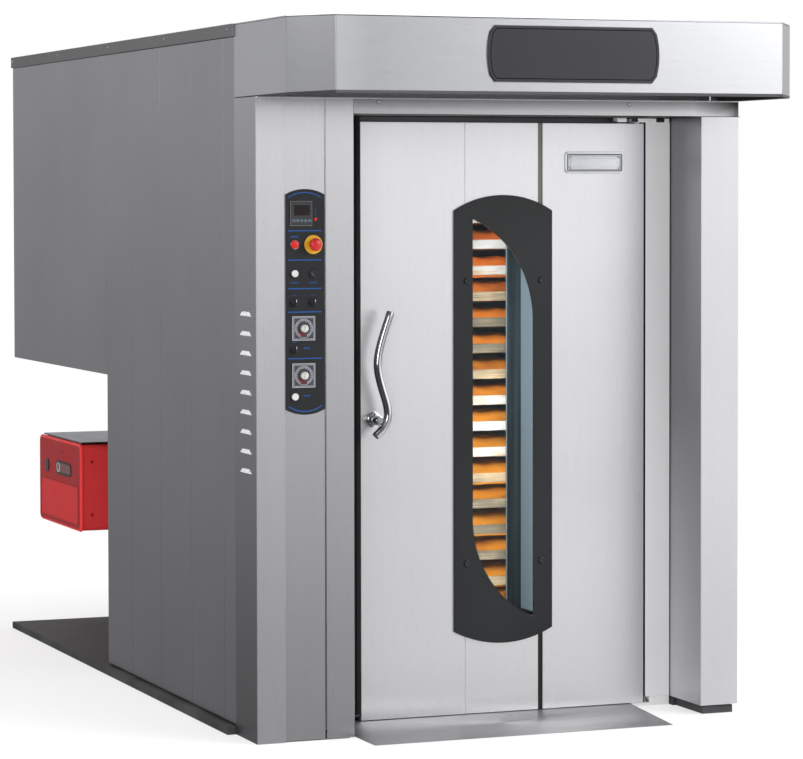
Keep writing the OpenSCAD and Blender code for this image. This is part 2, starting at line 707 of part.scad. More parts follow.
// Right (way 1) or left (way -1) end of the name plate: a bulging side between two cut corners
function nameplate_side(way) =
    let (x = nameplate_x, z = (canopy_bottom + oven_h) / 2 + 6, w = nameplate_w / 2, h = nameplate_h / 2)
    concat([[x + way * (w - 25), z - way * h]],
        arc([x + way * (w - 9), z - way * (h - 20)], [x + way * (w - 9), z + way * (h - 20)], -9, 8),
        [[x + way * (w - 25), z + way * h]]);

module entry_ramp() color("#9b9b9d") oven() intersection() {
    x0 = frame_x + 11;
    top = floor_t - 1;
    translate([x0, 0, 0]) rotate([90, 0, 90]) linear_extrude(ramp_w + ramp_flare)
        polygon([[-ramp_run, 0], [stop_y - seam, 0], [stop_y - seam, top], [leaf_y - 12, top],
            [-ramp_run, 1.5]]);
    linear_extrude(top) polygon([[x0, -ramp_run], [x0 + ramp_w, -ramp_run],
        [x0 + ramp_w + ramp_flare, leaf_y - 12], [x0 + ramp_w + ramp_flare, stop_y], [x0, stop_y]]);
}

module chamber_liner() color("#a9a9a6") oven() {
    z0 = floor_t + seat;
    front = chamber_y0 + seam;
    slab(liner_x0, chamber_x0, front, chamber_y1, z0, chamber_top - seam);
    slab(chamber_x1, liner_x1, front, chamber_y1, z0, chamber_top - seam);
    slab(liner_x0, liner_x1, chamber_y1 + seam, chamber_y1 + liner_t, z0, chamber_top - seam);
    difference() {
        slab(liner_x0, liner_x1, front, chamber_y1 + liner_t, chamber_top, liner_z1);
        rod_z([door_mid, rack_y, chamber_top - over], shaft_r + 8, liner_t + 2 * over);
        rod_z([vapour_at.x, vapour_at.y, chamber_top - over], vapour_r - collar_wall, liner_t + 2 * over);
    }
}

module insulation_slabs() color("#d9cf9f") oven() {
    front = chamber_y0 + seam;
    difference() {
        slab(liner_x0 - seam - wool_t, liner_x0 - seam, front, body_depth - panel_t - seam,
            base_t + seat, liner_z1);
        rod_x([liner_x0 - wool_t - 2 * over, water_y, water_z], pipe_r + over, wool_t + 4 * over);
    }
    slab(liner_x1 + seam, liner_x1 + seam + wool_t, front, body_depth - panel_t - seam,
        base_t + seat, liner_z1);
    difference() {
        slab(liner_x0 - seam - wool_t, liner_x1 + seam + wool_t, front, body_depth - panel_t - seam,
            liner_z1 + seam, wool_z1);
        rod_z([door_mid, rack_y, liner_z1], shaft_r + 8, wool_t + 2 * over);
        rod_z([vapour_at.x, vapour_at.y, liner_z1], vapour_r + seat, wool_t + 2 * over);
    }
}

// A slot of the diffuser, and its distance from the diffuser's side
slot = [200, 14];
slot_in = 120;

module air_diffusers() color("#b0b0ad") oven() {
    x0 = chamber_x0 + 20;
    x1 = chamber_x1 - 20;
    y0 = chamber_y1 - diffuser_depth;
    difference() {
        slab(x0, x1, y0, chamber_y1 + seam - seat, floor_t + seat, chamber_top - 40);
        slab(x0 + liner_t, x1 - liner_t, y0 + liner_t, chamber_y1 + over, 0, chamber_top - 44);
        for (z = [first_level : level_pitch : chamber_top - level_pitch],
            x = [x0 + slot_in, x1 - slot_in - slot.x])
            slab(x, x + slot.x, y0 - over, y0 + liner_t + over, z, z + slot.y);
    }
}

// The welded exchanger: firebox, lower box, tube bank, upper box and flue
module heat_exchanger() color("#8d6f5c") oven() {
    difference() {
        union() {
            rod_x([firebox_x, burner_y, burner_z], firebox_r, firebox_l);
            header(burner_z + firebox_r - 60, bank_z0);
            for (i = [-2 : 2], j = [-1 : 1])
                rod_z([bank_x + i * bank_pitch.x, burner_y + j * bank_pitch.y, bank_z0 - over], bank_r,
                    bank_h + 2 * over);
            header(bank_z1, bank_z1 + header_box_h);
            rod_z([flue_at.x, flue_at.y, bank_z1 + header_box_h - over], flue_r,
                roof_z - bank_z1 - header_box_h - seam + over);
        }
        rod_x([firebox_x - over, burner_y, burner_z], blast_r + 2, 60);
    }
    for (x = [firebox_x + 120, firebox_x + firebox_l - 160]) difference() {
        slab(x, x + 40, burner_y - 150, burner_y + 150, base_t + seat, burner_z - 60);
        rod_x([x - over, burner_y, burner_z], firebox_r + seat, 40 + 2 * over);
    }
}

module header(z0, z1) slab(bank_x - header_box.x / 2, bank_x + header_box.x / 2,
    burner_y - header_box.y / 2, burner_y + header_box.y / 2, z0, z1);

module exchanger_casing() color("#77787b") oven() {
    top = overhang_bottom - seam;
    difference() {
        slab(casing_x, casing_x + panel_t, body_depth + seam, base_rear - 20, base_t + seat, top);
        rod_x([casing_x - over, burner_y, burner_z], blast_r + 2, panel_t + 2 * over);
    }
    slab(body_w - panel_t, body_w, body_depth + seam, base_rear - 20, base_t + seat, top);
    slab(casing_x + panel_t + seam, body_w - panel_t - seam, base_rear - 20 - panel_t, base_rear - 20,
        base_t + seat, top);
}

// Outline of the burner's cover in Y and Z, drawn in by inset
module cover_outline(inset) offset(cover_corner - inset)
    square([cover_w - 2 * cover_corner, cover_h - 2 * cover_corner], center = true);

module burner_cover() color("#b02a2c") oven() translate([cover_x, burner_y, burner_z])
    rotate([90, 0, 90]) difference() {
        linear_extrude(cover_d) cover_outline(0);
        translate([0, 0, sheet_t]) linear_extrude(cover_d) cover_outline(sheet_t);
        // shallow lower panel and oval window, and the reset button's round hole
        translate([0, -70, -over]) linear_extrude(over + 2)
            square([cover_w - 70, cover_h - 190], center = true);
        for (x = [-1, 1] * (window_size.x - window_size.y) / 2)
            translate([window_at.x + x, window_at.y, -over]) cylinder(d = window_size.y, h = over + 2);
        translate([window_at.x, window_at.y, -over]) linear_extrude(over + 2)
            square([window_size.x - window_size.y, window_size.y], center = true);
        translate([reset_at.x, reset_at.y, -over]) cylinder(r = reset_r + seat, h = sheet_t + 2 * over);
    }

module burner_body() color("#84868a") oven() {
    x1 = cover_x + cover_d;
    pipe_x = x1 + flange_t + 40;
    pipe_z = burner_z - blast_r - pipe_r - 16;
    // how far the rim's corners are drawn in to fit the cover's rounded ones
    rim_in = cover_corner - (cover_corner - sheet_t - seat) * cos(45);
    // carrier and blower inside the cover, and the rim that closes the cover
    slab(cover_x + 30, x1 - flange_t, burner_y - cover_w / 3, burner_y + cover_w / 3,
        burner_z - cover_h / 3, burner_z + cover_h / 3);
    slab(x1 - 2 * flange_t, x1 + flange_t, burner_y - cover_w / 2 + rim_in, burner_y + cover_w / 2 - rim_in,
        burner_z - cover_h / 2 + rim_in, burner_z + cover_h / 2 - rim_in);
    slab(x1 + seat, x1 + flange_t, burner_y - cover_w / 2, burner_y + cover_w / 2,
        burner_z - cover_h / 2, burner_z + cover_h / 2);
    // blast tube and its flange on the exchanger casing
    rod_x([x1, burner_y, burner_z], blast_r, firebox_x + 50 - x1);
    slab(casing_x - 16, casing_x - seat, burner_y - blast_r - 60, burner_y + blast_r + 60,
        burner_z - blast_r - 60, burner_z + blast_r + 60);
    // lid over the cover
    slab(cover_x + 12, x1 - 12, burner_y - cover_w / 2 + cover_corner, burner_y + cover_w / 2 - cover_corner,
        burner_z + cover_h / 2 + seat, burner_z + cover_h / 2 + 6);
    // reset button in the cover's round hole, the gas valve and the gas pipe
    rod_x([cover_x - sheet_t, burner_y + reset_at.x, burner_z + reset_at.y], reset_r, 60);
    difference() {
        union() {
            slab(x1 + flange_t - 1, pipe_x + pipe_r, burner_y - 40, burner_y + 60,
                pipe_z - 50, burner_z - blast_r - sheet_t);
            rod_y([pipe_x, burner_y, pipe_z], pipe_r, cover_w / 2 + 60);
        }
        rod_y([pipe_x, burner_y + cover_w / 2 + 20, pipe_z], pipe_r - pipe_wall, 40 + over);
    }
}

module fan_motor() color("#5d6a78") oven() translate([fan_at.x, fan_at.y, panel_top + seat]) difference() {
    union() {
        cylinder(r = motor_foot[0], h = motor_foot[1]);
        cylinder(r = motor[0], h = motor[1]);
        for (a = [0 : 30 : 330]) rotate([0, 0, a])
            translate([motor[0] - motor_rib.x / 2, -motor_rib.y / 2, motor_foot[1] + 8]) cube(motor_rib);
        translate([-motor_box.x / 2, motor[0] - 8, motor[1] - motor_box.z - 22]) cube(motor_box);
    }
    translate([0, 0, -over]) cylinder(r = fan_shaft_r + running, h = motor_bore + over);
}

// A round duct of outer radius r from z0 to z1, with a flange on the roof
module duct(at, r, z0, z1) difference() {
    union() {
        rod_z([at.x, at.y, z0], r, z1 - z0);
        rod_z([at.x, at.y, panel_top + seat], r + collar_flange[0], collar_flange[1]);
    }
    rod_z([at.x, at.y, z0 - over], r - collar_wall, z1 - z0 + 2 * over);
}

module exhaust_collars() color("#a4a6a8") oven() {
    duct(flue_at, flue_r, panel_top + seat, panel_top + collar_h);
    difference() {
        duct(vapour_at, vapour_r, liner_z1 + seat, panel_top + collar_h);
        rod_x([vapour_at.x - vapour_r - over, vapour_at.y, damper_z], damper_rod_r + running,
            2 * vapour_r + 2 * over);
    }
}

module damper_flap() color("#8f9092") oven() translate([vapour_at.x, vapour_at.y, damper_z]) {
    reach = vapour_r + 20;
    rod_x([-reach, 0, 0], damper_rod_r, 2 * reach);
    translate([0, 0, -1]) cylinder(r = vapour_r - collar_wall - 2, h = 2);
    // the lever of the rod, outside the duct
    translate([-reach, -damper_lever.z / 2, -damper_lever.z / 2]) cube(damper_lever);
}

module fan_impeller() color("#9a9b9c") oven() translate([fan_at.x, fan_at.y, fan_z]) {
    cylinder(r = fan_shaft_r, h = panel_top + seat + motor_bore - 5 - fan_z);
    cylinder(r = fan_hub[0], h = fan_hub[1]);
    cylinder(r = fan_r, h = blade.y);
    for (a = [0 : 30 : 330]) rotate([0, 0, a])
        translate([fan_r - blade.x, -blade.y / 2, -blade.z]) cube([blade.x - 10, blade.y, blade.z + over]);
    translate([0, 0, -blade.z - blade.y]) difference() {
        cylinder(r = fan_r, h = blade.y + over);
        translate([0, 0, -over]) cylinder(r = fan_r - blade.x - 5, h = blade.y + 3 * over);
    }
}

module steam_generator() color("#6f6a66") oven() {
    y0 = chamber_y1 + liner_t + steam_gap;
    y1 = body_depth - panel_t - steam_gap;
    x0 = liner_x0 + steam_in;
    x1 = x0 + steam_w;
    for (x = [x0, x1 - steam_frame_t]) slab(x, x + steam_frame_t, y0, y1, base_t + seat, steam_top);
    for (i = [0 : channel_count - 1]) difference() {
        z = channel_z + i * channel_pitch;
        slab(x0 + steam_frame_t - over, x1 - steam_frame_t + over, y0 + 10, y1 - 10, z, z + channel_h);
        slab(x0 + steam_frame_t + channel_wall, x1 - steam_frame_t - channel_wall,
            y0 + 10 + channel_wall, y1 - 10 - channel_wall, z + channel_wall, z + channel_h + over);
    }
    // water pipe through the rear panel
    difference() {
        union() {
            rod_y([frame_x, water_y, water_z], pipe_r, body_depth + water_out - water_y);
            rod_x([frame_x - pipe_r, water_y, water_z], pipe_r, x0 - frame_x + pipe_r + over);
        }
        rod_y([frame_x, body_depth + water_out - 40, water_z], pipe_r - pipe_wall, 40 + over);
    }
}

module rack_drive() color("#4f6d8f") oven() translate([door_mid, rack_y, drive_z]) difference() {
    union() {
        cylinder(r = drive_foot[0], h = drive_foot[1]);
        cylinder(r = drive_neck[0], h = drive_neck[1]);
        translate([-drive_box.x / 2, -drive_box.y / 2, drive_neck[1] - 10]) cube(drive_box);
        rod_x([drive_box.x / 2 - 5, 0, drive_axis], drive_motor[0], drive_motor[1]);
        rod_x([drive_box.x / 2 - 3, 0, drive_axis], drive_motor[0] + 12, 10);
    }
    translate([0, 0, -over]) cylinder(r = shaft_r + running, h = drive_bore + over);
}

// Outline of the control panel in X and Z
module panel_outline() {
    z0 = panel_z + panel_rise;
    z1 = panel_z + panel_h - panel_rise;
    polygon(concat(
        arc([panel_x + panel_w / 2, z1], [panel_x - panel_w / 2, z1], -panel_rise, 16),
        arc([panel_x - panel_w / 2, z0], [panel_x + panel_w / 2, z0], -panel_rise, 16)));
}

module control_panel_plate() color("#202226") oven() difference() {
    face_plate(plate_y, plate_y + plate_t) panel_outline();
    for (p = push_places()) rod_y([p.x, plate_y - over, p.y], button_r + 1, plate_t + 2 * over);
    for (p = selector_places()) rod_y([p.x, plate_y - over, p.y], stem_r + 2, plate_t + 2 * over);
    rod_y([right_col, plate_y - over, stop_button_z], stop_stem_r + 1, plate_t + 2 * over);
    rod_y([left_col, plate_y - over, stop_button_z], lamp_stem_r + 0.5, plate_t + 2 * over);
    square_hole(controller_x, controller_z, controller_w - 6, controller_h - 6);
    for (z = [timer_1_z, timer_2_z]) square_hole(timers_x, z, timer_w - 8, timer_w - 8);
}

module square_hole(x, z, w, h) slab(x - w / 2, x + w / 2, plate_y - over, plate_y + plate_t + over,
    z - h / 2, z + h / 2);

function push_places() = [[left_col, push_z], [right_col, push_z], [left_col, steam_z]];
function selector_places() = [[left_col, selector_z], [right_col, selector_z], [left_col, selector_3_z]];

// A framed instrument at x and z, of width w and height h, that reaches to depth d behind the panel
module instrument(x, z, w, h, d) {
    front = plate_y - seat - frame_t;
    slab(x - w / 2, x + w / 2, front, front + frame_t, z - h / 2, z + h / 2);
    slab(x - w / 2 + frame_step, x + w / 2 - frame_step, front + frame_t - over, d,
        z - h / 2 + frame_step, z + h / 2 - frame_step);
}

// Bodies of the controller and the timers, and the contact blocks behind the buttons
module panel_instruments() color("#d4d4cc") oven() {
    instrument(controller_x, controller_z, controller_w, controller_h, controller_d);
    for (z = [timer_1_z, timer_2_z]) difference() {
        instrument(timers_x, z, timer_w, timer_w, timer_d);
        rod_y([timers_x, plate_y - seat - frame_t - over, z], knob_stem[0] + seat, knob_stem[1] + 3);
    }
    for (p = push_places()) contact_block(p, button_r + seat);
    for (p = selector_places()) contact_block(p, stem_r + seat);
    for (x = [left_col, right_col]) contact_block([x, stop_button_z], stop_stem_r + seat);
}

// A contact block, held behind the panel by a sleeve round its button's stem
module contact_block(p, hole_r) difference() {
    union() {
        rod_y([p.x, plate_y + plate_t + seat, p.y], hole_r + sleeve_wall, block_y - plate_y - plate_t);
        slab(p.x - block.x / 2, p.x + block.x / 2, block_y, block_y + block.y,
            p.y - block.z / 2, p.y + block.z / 2);
    }
    rod_y([p.x, plate_y, p.y], hole_r, block_y - plate_y);
}

// Collars of the buttons and selectors, the red lamp and the emergency button's yellow plate
module panel_trim() color("#d8b52a") oven() {
    for (p = push_places()) ring_collar(p, button_r + collar_rim, button_r + seat);
    for (p = selector_places()) ring_collar(p, selector_r + collar_rim - 1, stem_r + seat);
    ring_collar([right_col, stop_button_z], ring_r - 0.5, stop_stem_r + seat);
    translate([right_col, bezel_y - hub[1], stop_button_z]) rotate([-90, 0, 0]) difference() {
        cylinder(r = hub[0], h = hub[1] + over);
        translate([0, 0, -over]) cylinder(r = stop_stem_r + seat, h = hub[1] + 3 * over);
    }
    rod_y([left_col, bezel_y - button_out, stop_button_z], lamp_r, collar_out + button_out);
    rod_y([left_col, plate_y - seat - over, stop_button_z], lamp_stem_r, block_y - plate_y + over);
}

module ring_collar(p, r, hole_r) translate([p.x, bezel_y, p.y]) rotate([-90, 0, 0]) difference() {
    cylinder(r = r, h = collar_out);
    translate([0, 0, -over]) cylinder(r = hole_r, h = collar_out + 2 * over);
}

module push_button(p) oven() rod_y([p.x, bezel_y - button_out, p.y], button_r,
    block_y - button_travel - seat - bezel_y + button_out);

module start_button() color("#ecebe4") push_button(push_places()[0]);
module stop_button() color("#17181a") push_button(push_places()[1]);
module steam_button() color("#ecebe4") push_button(push_places()[2]);

module emergency_knob() color("#c3221f") oven() translate([right_col, 0, stop_button_z]) {
    head = bezel_y - hub[1] - button_travel - 2;
    rod_y([0, head - mushroom_l, 0], mushroom_r, mushroom_l);
    rod_y([0, head - over, 0], stop_stem_r, block_y - button_travel - seat - head + over);
}

// A round knob with a raised grip, on a stem that ends at the contact block
module selector(p) oven() translate([p.x, 0, p.y]) {
    front = bezel_y - seat - selector_l;
    rod_y([0, front, 0], selector_r, selector_l);
    translate([-grip[0] / 2, front - grip[1], -selector_r + 0.5])
        cube([grip[0], grip[1] + over, 2 * selector_r - 1]);
    rod_y([0, bezel_y - seat - over, 0], stem_r, block_y - bezel_y + over);
}

module selector_switch_1() color("#1b1c1f") selector(selector_places()[0]);
module selector_switch_2() color("#1b1c1f") selector(selector_places()[1]);
module selector_switch_3() color("#1b1c1f") selector(selector_places()[2]);

module timer_knob(z) oven() translate([timers_x, 0, z]) {
    back = plate_y - seat - frame_t - seat;
    rod_y([0, back - knob_l, 0], knob_r, knob_l);
    translate([-knob_grip[0] / 2, back - knob_l - knob_grip[1], -knob_r + 1])
        cube([knob_grip[0], knob_grip[1] + 2, 2 * knob_r - 2]);
    rod_y([0, back - over, 0], knob_stem[0], knob_stem[1] + over);
}

module timer_knob_1() color("#e7dfca") timer_knob(timer_1_z);
module timer_knob_2() color("#e7dfca") timer_knob(timer_2_z);

// Outline of the clear glass in X and Z: two upright sides joined by two arcs
module clear_outline() {
    sweep_a = asin(clear_curve / curve_r);
    polygon(concat(
        [[clear_x0, clear_z1]],
        [for (i = [0 : 16]) let (t = sweep_a * i / 16)
            [clear_x0 + curve_r * (1 - cos(t)), clear_z0 + clear_curve - curve_r * sin(t)]],
        [for (i = [0 : 16]) let (t = sweep_a * i / 16)
            [clear_x1 - curve_r * (1 - cos(t)), clear_z1 - clear_curve + curve_r * sin(t)]]));
}

module mask_outline() polygon(concat(
    arc([mask_x1, mask_z1], [mask_x0, mask_z1], -mask_rise),
    arc([mask_x0, mask_z0], [mask_x1, mask_z0], -mask_drop)));

module window_mask() color("#26282b") oven() {
    difference() {
        face_plate(mask_front, mask_front + mask_t) mask_outline();
        face_plate(mask_front - over, mask_front + mask_t + over) clear_outline();
        for (p = fixing_places()) rod_y([p.x, mask_front - over, p.y], fixing_r / 2, mask_t + 2 * over);
    }
    // border of the inner pane
    difference() {
        slab(tunnel_x0 - 12, tunnel_x1 + 2, plug_back + seat, plug_back + 5, tunnel_z0 - 12, tunnel_z1 + 12);
        slab(tunnel_x0, clear_x1 - inner_border, plug_back - over, plug_back + 5 + over,
            tunnel_z0, tunnel_z1);
    }
}

// Places of the fixings: distances from the mask's left and right side, lower and upper corners
fixing_in = [45, 40, 222, 229];

function fixing_places() = [for (x = [mask_x0 + fixing_in[0], mask_x1 - fixing_in[1]],
    z = [mask_z0 + fixing_in[2], mask_z1 - fixing_in[3]]) [x, z]];

module window_glass() color("#cfe0e4", 0.35) oven() {
    slab(tunnel_x0 + seat, clear_x1, pane_y, pane_y + glass_t, tunnel_z0 + seat, tunnel_z1 - seat);
    slab(tunnel_x0 + seat, clear_x1, plug_back - glass_t, plug_back, tunnel_z0 + seat, tunnel_z1 - seat);
}

module window_lamp() color("#e9eef2") oven()
    slab(clear_x1 + seat, tunnel_x1 - seat, pane_y + glass_t + 1, plug_back - glass_t - 1,
        tunnel_z0 + seat, tunnel_z1 - seat);

module glass_fixings() color("#101113") oven() for (p = fixing_places()) {
    rod_y([p.x, mask_front - 5 - seat, p.y], fixing_r, 5);
    rod_y([p.x, mask_front - seat - 1, p.y], fixing_r / 2 - seat, mask_t + seat + 1);
}

// The wide groove and the fine seam, from the mask's right and left side
groove_w = 16;
groove_in = 32;
seam_in = 40;

module door_outer_skin() color("#babbbd") oven() difference() {
    slab(door_x0, door_x1, leaf_y, leaf_back, door_z0, door_top);
    slab(tunnel_x0, tunnel_x1, leaf_y - over, leaf_back + over, tunnel_z0, tunnel_z1);
    // the wide groove and the fine seam on the door's face
    slab(mask_x1 - groove_in - groove_w, mask_x1 - groove_in, leaf_y - over, leaf_y + 4,
        door_z0 - over, door_top + over);
    slab(mask_x0 + seam_in, mask_x0 + seam_in + 1.5, leaf_y - over, leaf_y + 1,
        door_z0 - over, door_top + over);
    rod_z([pivot_x, pivot_y, door_top - pivot_len - 2], pivot_r + running, pivot_len + 2 + over);
    rod_z([pivot_x, pivot_y, door_z0 - over], pivot_r + running, pivot_len + 2 + over);
    rod_y([handle_x, leaf_y - over, handle_z], spindle_r + running, leaf_t + 2 * over);
}

module door_inner_liner() color("#a8a9a9") oven() difference() {
    slab(plug_x0, plug_x1, leaf_back + seat, plug_back, floor_t + 18, door_top - plug_in - 10);
    slab(tunnel_x0, tunnel_x1, leaf_back - over, plug_back + over, tunnel_z0, tunnel_z1);
    rod_y([handle_x, leaf_back - over, handle_z], spindle_r + 6, 40);
}

module door_badge() color("#c9cbce") oven() {
    badge = [215, 72];
    at = [mask_x1 + 154, door_top - 130];
    face_plate(leaf_y - seat - 4, leaf_y - seat) translate(at) offset(12)
        square(badge - [24, 24], center = true);
}

module door_gasket() color("#4a4340") oven() {
    y = [leaf_back + seat, leaf_back + seat + gasket_t];
    slab(door_x0 + 2, stop_x0 - 1, y[0], y[1], floor_t + 18, door_top - 5);
    slab(stop_x1 + 2, stop_out - 1, y[0], y[1], floor_t + 18, door_top - 5);
    slab(stop_x0 - 1 + seat, stop_x1 + 2 - seat, y[0], y[1], stop_z + 2, door_top - 5);
}

module handle_rose() color("#c5c7ca") oven() difference() {
    rod_y([handle_x, rose_front, handle_z], rose_r, rose_t);
    rod_y([handle_x, rose_front - over, handle_z], spindle_r + running, rose_t + 2 * over);
}

// The lever's middle line: places in X and Z from the spindle, lower end first
lever_points = [[-15, -50], [16, -17], [27, 37], [-7, 187], [37, 349]];

// Point at t between point i and the next one, on a smooth curve through all the points
function curve_point(p, i, t) =
    let (a = p[max(i - 1, 0)], b = p[i], c = p[i + 1], d = p[min(i + 2, len(p) - 1)])
    ((2 * b) + (c - a) * t + (2 * a - 5 * b + 4 * c - d) * t * t + (3 * b - a - 3 * c + d) * t * t * t) / 2;

lever_steps = 8;
lever_line = [for (i = [0 : len(lever_points) - 2], s = [0 : lever_steps - 1])
    curve_point(lever_points, i, s / lever_steps), lever_points[len(lever_points) - 1]];

// A round bar along a line that lies in X and Z, closed at both ends
module bar_along(line, r, sides = 12) {
    n = len(line);
    rings = [for (i = [0 : n - 1]) let (
        ahead = line[min(i + 1, n - 1)] - line[max(i - 1, 0)],
        side = [-ahead.y, ahead.x] / norm(ahead))
        for (q = ring(r, sides)) [line[i].x + side.x * q.x, q.y, line[i].y + side.y * q.x]];
    polyhedron(rings, concat(
        [[for (k = [sides - 1 : -1 : 0]) k]],
        [for (i = [0 : n - 2], k = [0 : sides - 1]) let (a = i * sides + k, b = i * sides + (k + 1) % sides)
            [a, b + sides, a + sides]],
        [for (i = [0 : n - 2], k = [0 : sides - 1]) let (a = i * sides + k, b = i * sides + (k + 1) % sides)
            [a, b, b + sides]],
        [[for (k = [0 : sides - 1]) (n - 1) * sides + k]]));
}

module handle_lever() color("#d3d5d8") oven() translate([handle_x, 0, handle_z]) {
    rod_y([0, leaf_y - lever_off, 0], hub_r, lever_off - rose_t - 2 * seat);
    rod_y([0, leaf_y - rose_t - 3, 0], spindle_r, rose_t + 3 + leaf_t + 10);
    translate([0, leaf_y - lever_off, 0]) bar_along(lever_line, lever_r);
}

module rack_place() oven() translate([door_mid, rack_y, 0]) children();

module rack_shaft() color("#7e8083") rack_place() {
    rod_z([0, 0, hook_z - hook_eye], shaft_r, shaft_top - hook_z + hook_eye);
    rod_x([-46, 0, hook_z], hook_r, 92);
}

module rack_frame() color("#9c9d9f") rack_place() {
    foot = [rack_z0, rack_z0 + rack_foot];
    difference() {
        union() {
            for (x = [-rack_w / 2, rack_w / 2 - post], y = [-rack_l / 2, rack_l / 2 - post])
                slab(x, x + post, y, y + post, foot[0], rack_top);
            for (z = [foot[0], rack_top - post]) {
                for (x = [-rack_w / 2, rack_w / 2 - post])
                    slab(x, x + post, -rack_l / 2, rack_l / 2, z, z + post);
                for (y = [-rack_l / 2, rack_l / 2 - post])
                    slab(-rack_w / 2, rack_w / 2, y, y + post, z, z + post);
            }
            for (x = [-1, 1], y = [-1, 1]) {
                rod_z([x * caster_at.x, y * caster_at.y, foot[0]], 30, rack_foot);
                slab(min(x * caster_at.x, x * rack_w / 2), max(x * caster_at.x, x * rack_w / 2),
                    y * caster_at.y - 20, y * caster_at.y + 20, foot[0], foot[0] + post);
            }
            slab(-rack_w / 2, rack_w / 2, -50, 50, rack_top - 8, rack_top);
            for (x = [-38, 28]) slab(x, x + 10, -30, 30, rack_top - 1, hook_z + hook_eye);
        }
        rod_x([-46, 0, hook_z], hook_r + running, 92);
        for (x = [-1, 1], y = [-1, 1])
            rod_z([x * caster_at.x, y * caster_at.y, foot[0] - over], 8 + running, 24 + over);
    }
    for (i = [0 : levels - 1], side = [-1, 1]) {
        z = first_level + i * level_pitch;
        inner = rack_w / 2 - post - 12;
        slab(min(side * inner, side * rack_w / 2), max(side * inner, side * rack_w / 2),
            -rack_l / 2 + post - 1, rack_l / 2 - post + 1, z - 3, z);
    }
}

// Trays lie on every shelf but the top one
function tray_levels() = [for (i = [0 : levels - 2]) first_level + i * level_pitch + seat];

module baking_trays() color("#c9c6bb") rack_place() for (z = tray_levels()) difference() {
    slab(-tray_w / 2, tray_w / 2, -tray_l / 2, tray_l / 2, z, z + tray_h);
    slab(-tray_w / 2 + tray_t, tray_w / 2 - tray_t, -tray_l / 2 + tray_t, tray_l / 2 - tray_t,
        z + tray_t, z + tray_h + over);
}

module bread_loaves() color("#d98a3d") rack_place() {
    length = tray_w - 2 * tray_t - 2 * loaf_end;
    for (z = tray_levels(), i = [0 : loaf_rows - 1])
        translate([-length / 2, (i - (loaf_rows - 1) / 2) * (2 * loaf_r + loaf_gap), z + tray_t + seat])
            intersection() {
                rod_x([0, 0, 0], loaf_r, length);
                slab(0, length, -loaf_r, loaf_r, 0, loaf_r);
            }
}

// The four casters, numbered from the front left corner anticlockwise
function caster_place(i) = [(i == 2 || i == 3 ? 1 : -1) * caster_at.x, (i >= 3 ? 1 : -1) * caster_at.y, 0];

module caster_fork(i) rack_place() translate(caster_place(i)) {
    leg = wheel_w / 2 + 2;
    rod_z([0, 0, fork_top - 6], 26, 6);
    rod_z([0, 0, fork_top - 1], 8, 22);
    for (y = [-leg - 4, leg]) translate([0, y + 4, 0]) rotate([90, 0, 0]) linear_extrude(4)
        polygon([[-20, fork_top - 4], [20, fork_top - 4], [-trail + 12, wheel_z - 12],
            [-trail - 12, wheel_z - 12]]);
    slab(-20, 20, -leg - 4, leg + 4, fork_top - 6, fork_top - 1);
    rod_y([-trail, -leg - 6, wheel_z], 6, 2 * leg + 12);
}

module caster_wheel(i) rack_place() translate(caster_place(i)) difference() {
    rod_y([-trail, -wheel_w / 2, wheel_z], wheel_r, wheel_w);
    rod_y([-trail, -wheel_w / 2 - over, wheel_z], 6 + running, wheel_w + 2 * over);
}

module caster_fork_1() color("#8a8b8d") caster_fork(1);
module caster_fork_2() color("#8a8b8d") caster_fork(2);
module caster_fork_3() color("#8a8b8d") caster_fork(3);
module caster_fork_4() color("#8a8b8d") caster_fork(4);
module caster_wheel_1() color("#2c2c2e") caster_wheel(1);
module caster_wheel_2() color("#2c2c2e") caster_wheel(2);
module caster_wheel_3() color("#2c2c2e") caster_wheel(3);
module caster_wheel_4() color("#2c2c2e") caster_wheel(4);

base_plate();
left_side_panels();
right_side_panels();
rear_panels();
roof_deck();
left_pillar();
control_fascia();
front_frame();
right_pillar();
hinge_post();
canopy_shell();
canopy_nameplate();
entry_ramp();
chamber_liner();
insulation_slabs();
air_diffusers();
heat_exchanger();
exchanger_casing();
burner_cover();
burner_body();
fan_motor();
exhaust_collars();
steam_generator();
rack_drive();
control_panel_plate();
panel_instruments();
panel_trim();
door_outer_skin();
door_inner_liner();
window_mask();
window_glass();
window_lamp();
glass_fixings();
door_badge();
door_gasket();
handle_rose();
handle_lever();
rack_shaft();
rack_frame();
baking_trays();
bread_loaves();
fan_impeller();
damper_flap();
start_button();
stop_button();
steam_button();
emergency_knob();
selector_switch_1();
selector_switch_2();
selector_switch_3();
timer_knob_1();
timer_knob_2();
caster_fork_1();
caster_fork_2();
caster_fork_3();
caster_fork_4();
caster_wheel_1();
caster_wheel_2();
caster_wheel_3();
caster_wheel_4();
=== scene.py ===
"""Looks of a rotating rack oven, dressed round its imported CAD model.

Lengths inside the classes are millimetres in the oven's own axes: X to the right and Y to the
back from the front left corner of the left pillar, Z up from the floor. Shaper turns them into
metres of the model's frame.
"""

from __future__ import annotations

import json
import logging
import math
from dataclasses import dataclass, field
from enum import Enum
from typing import Sequence

import bmesh
import bpy
from mathutils import Euler, Matrix, Vector

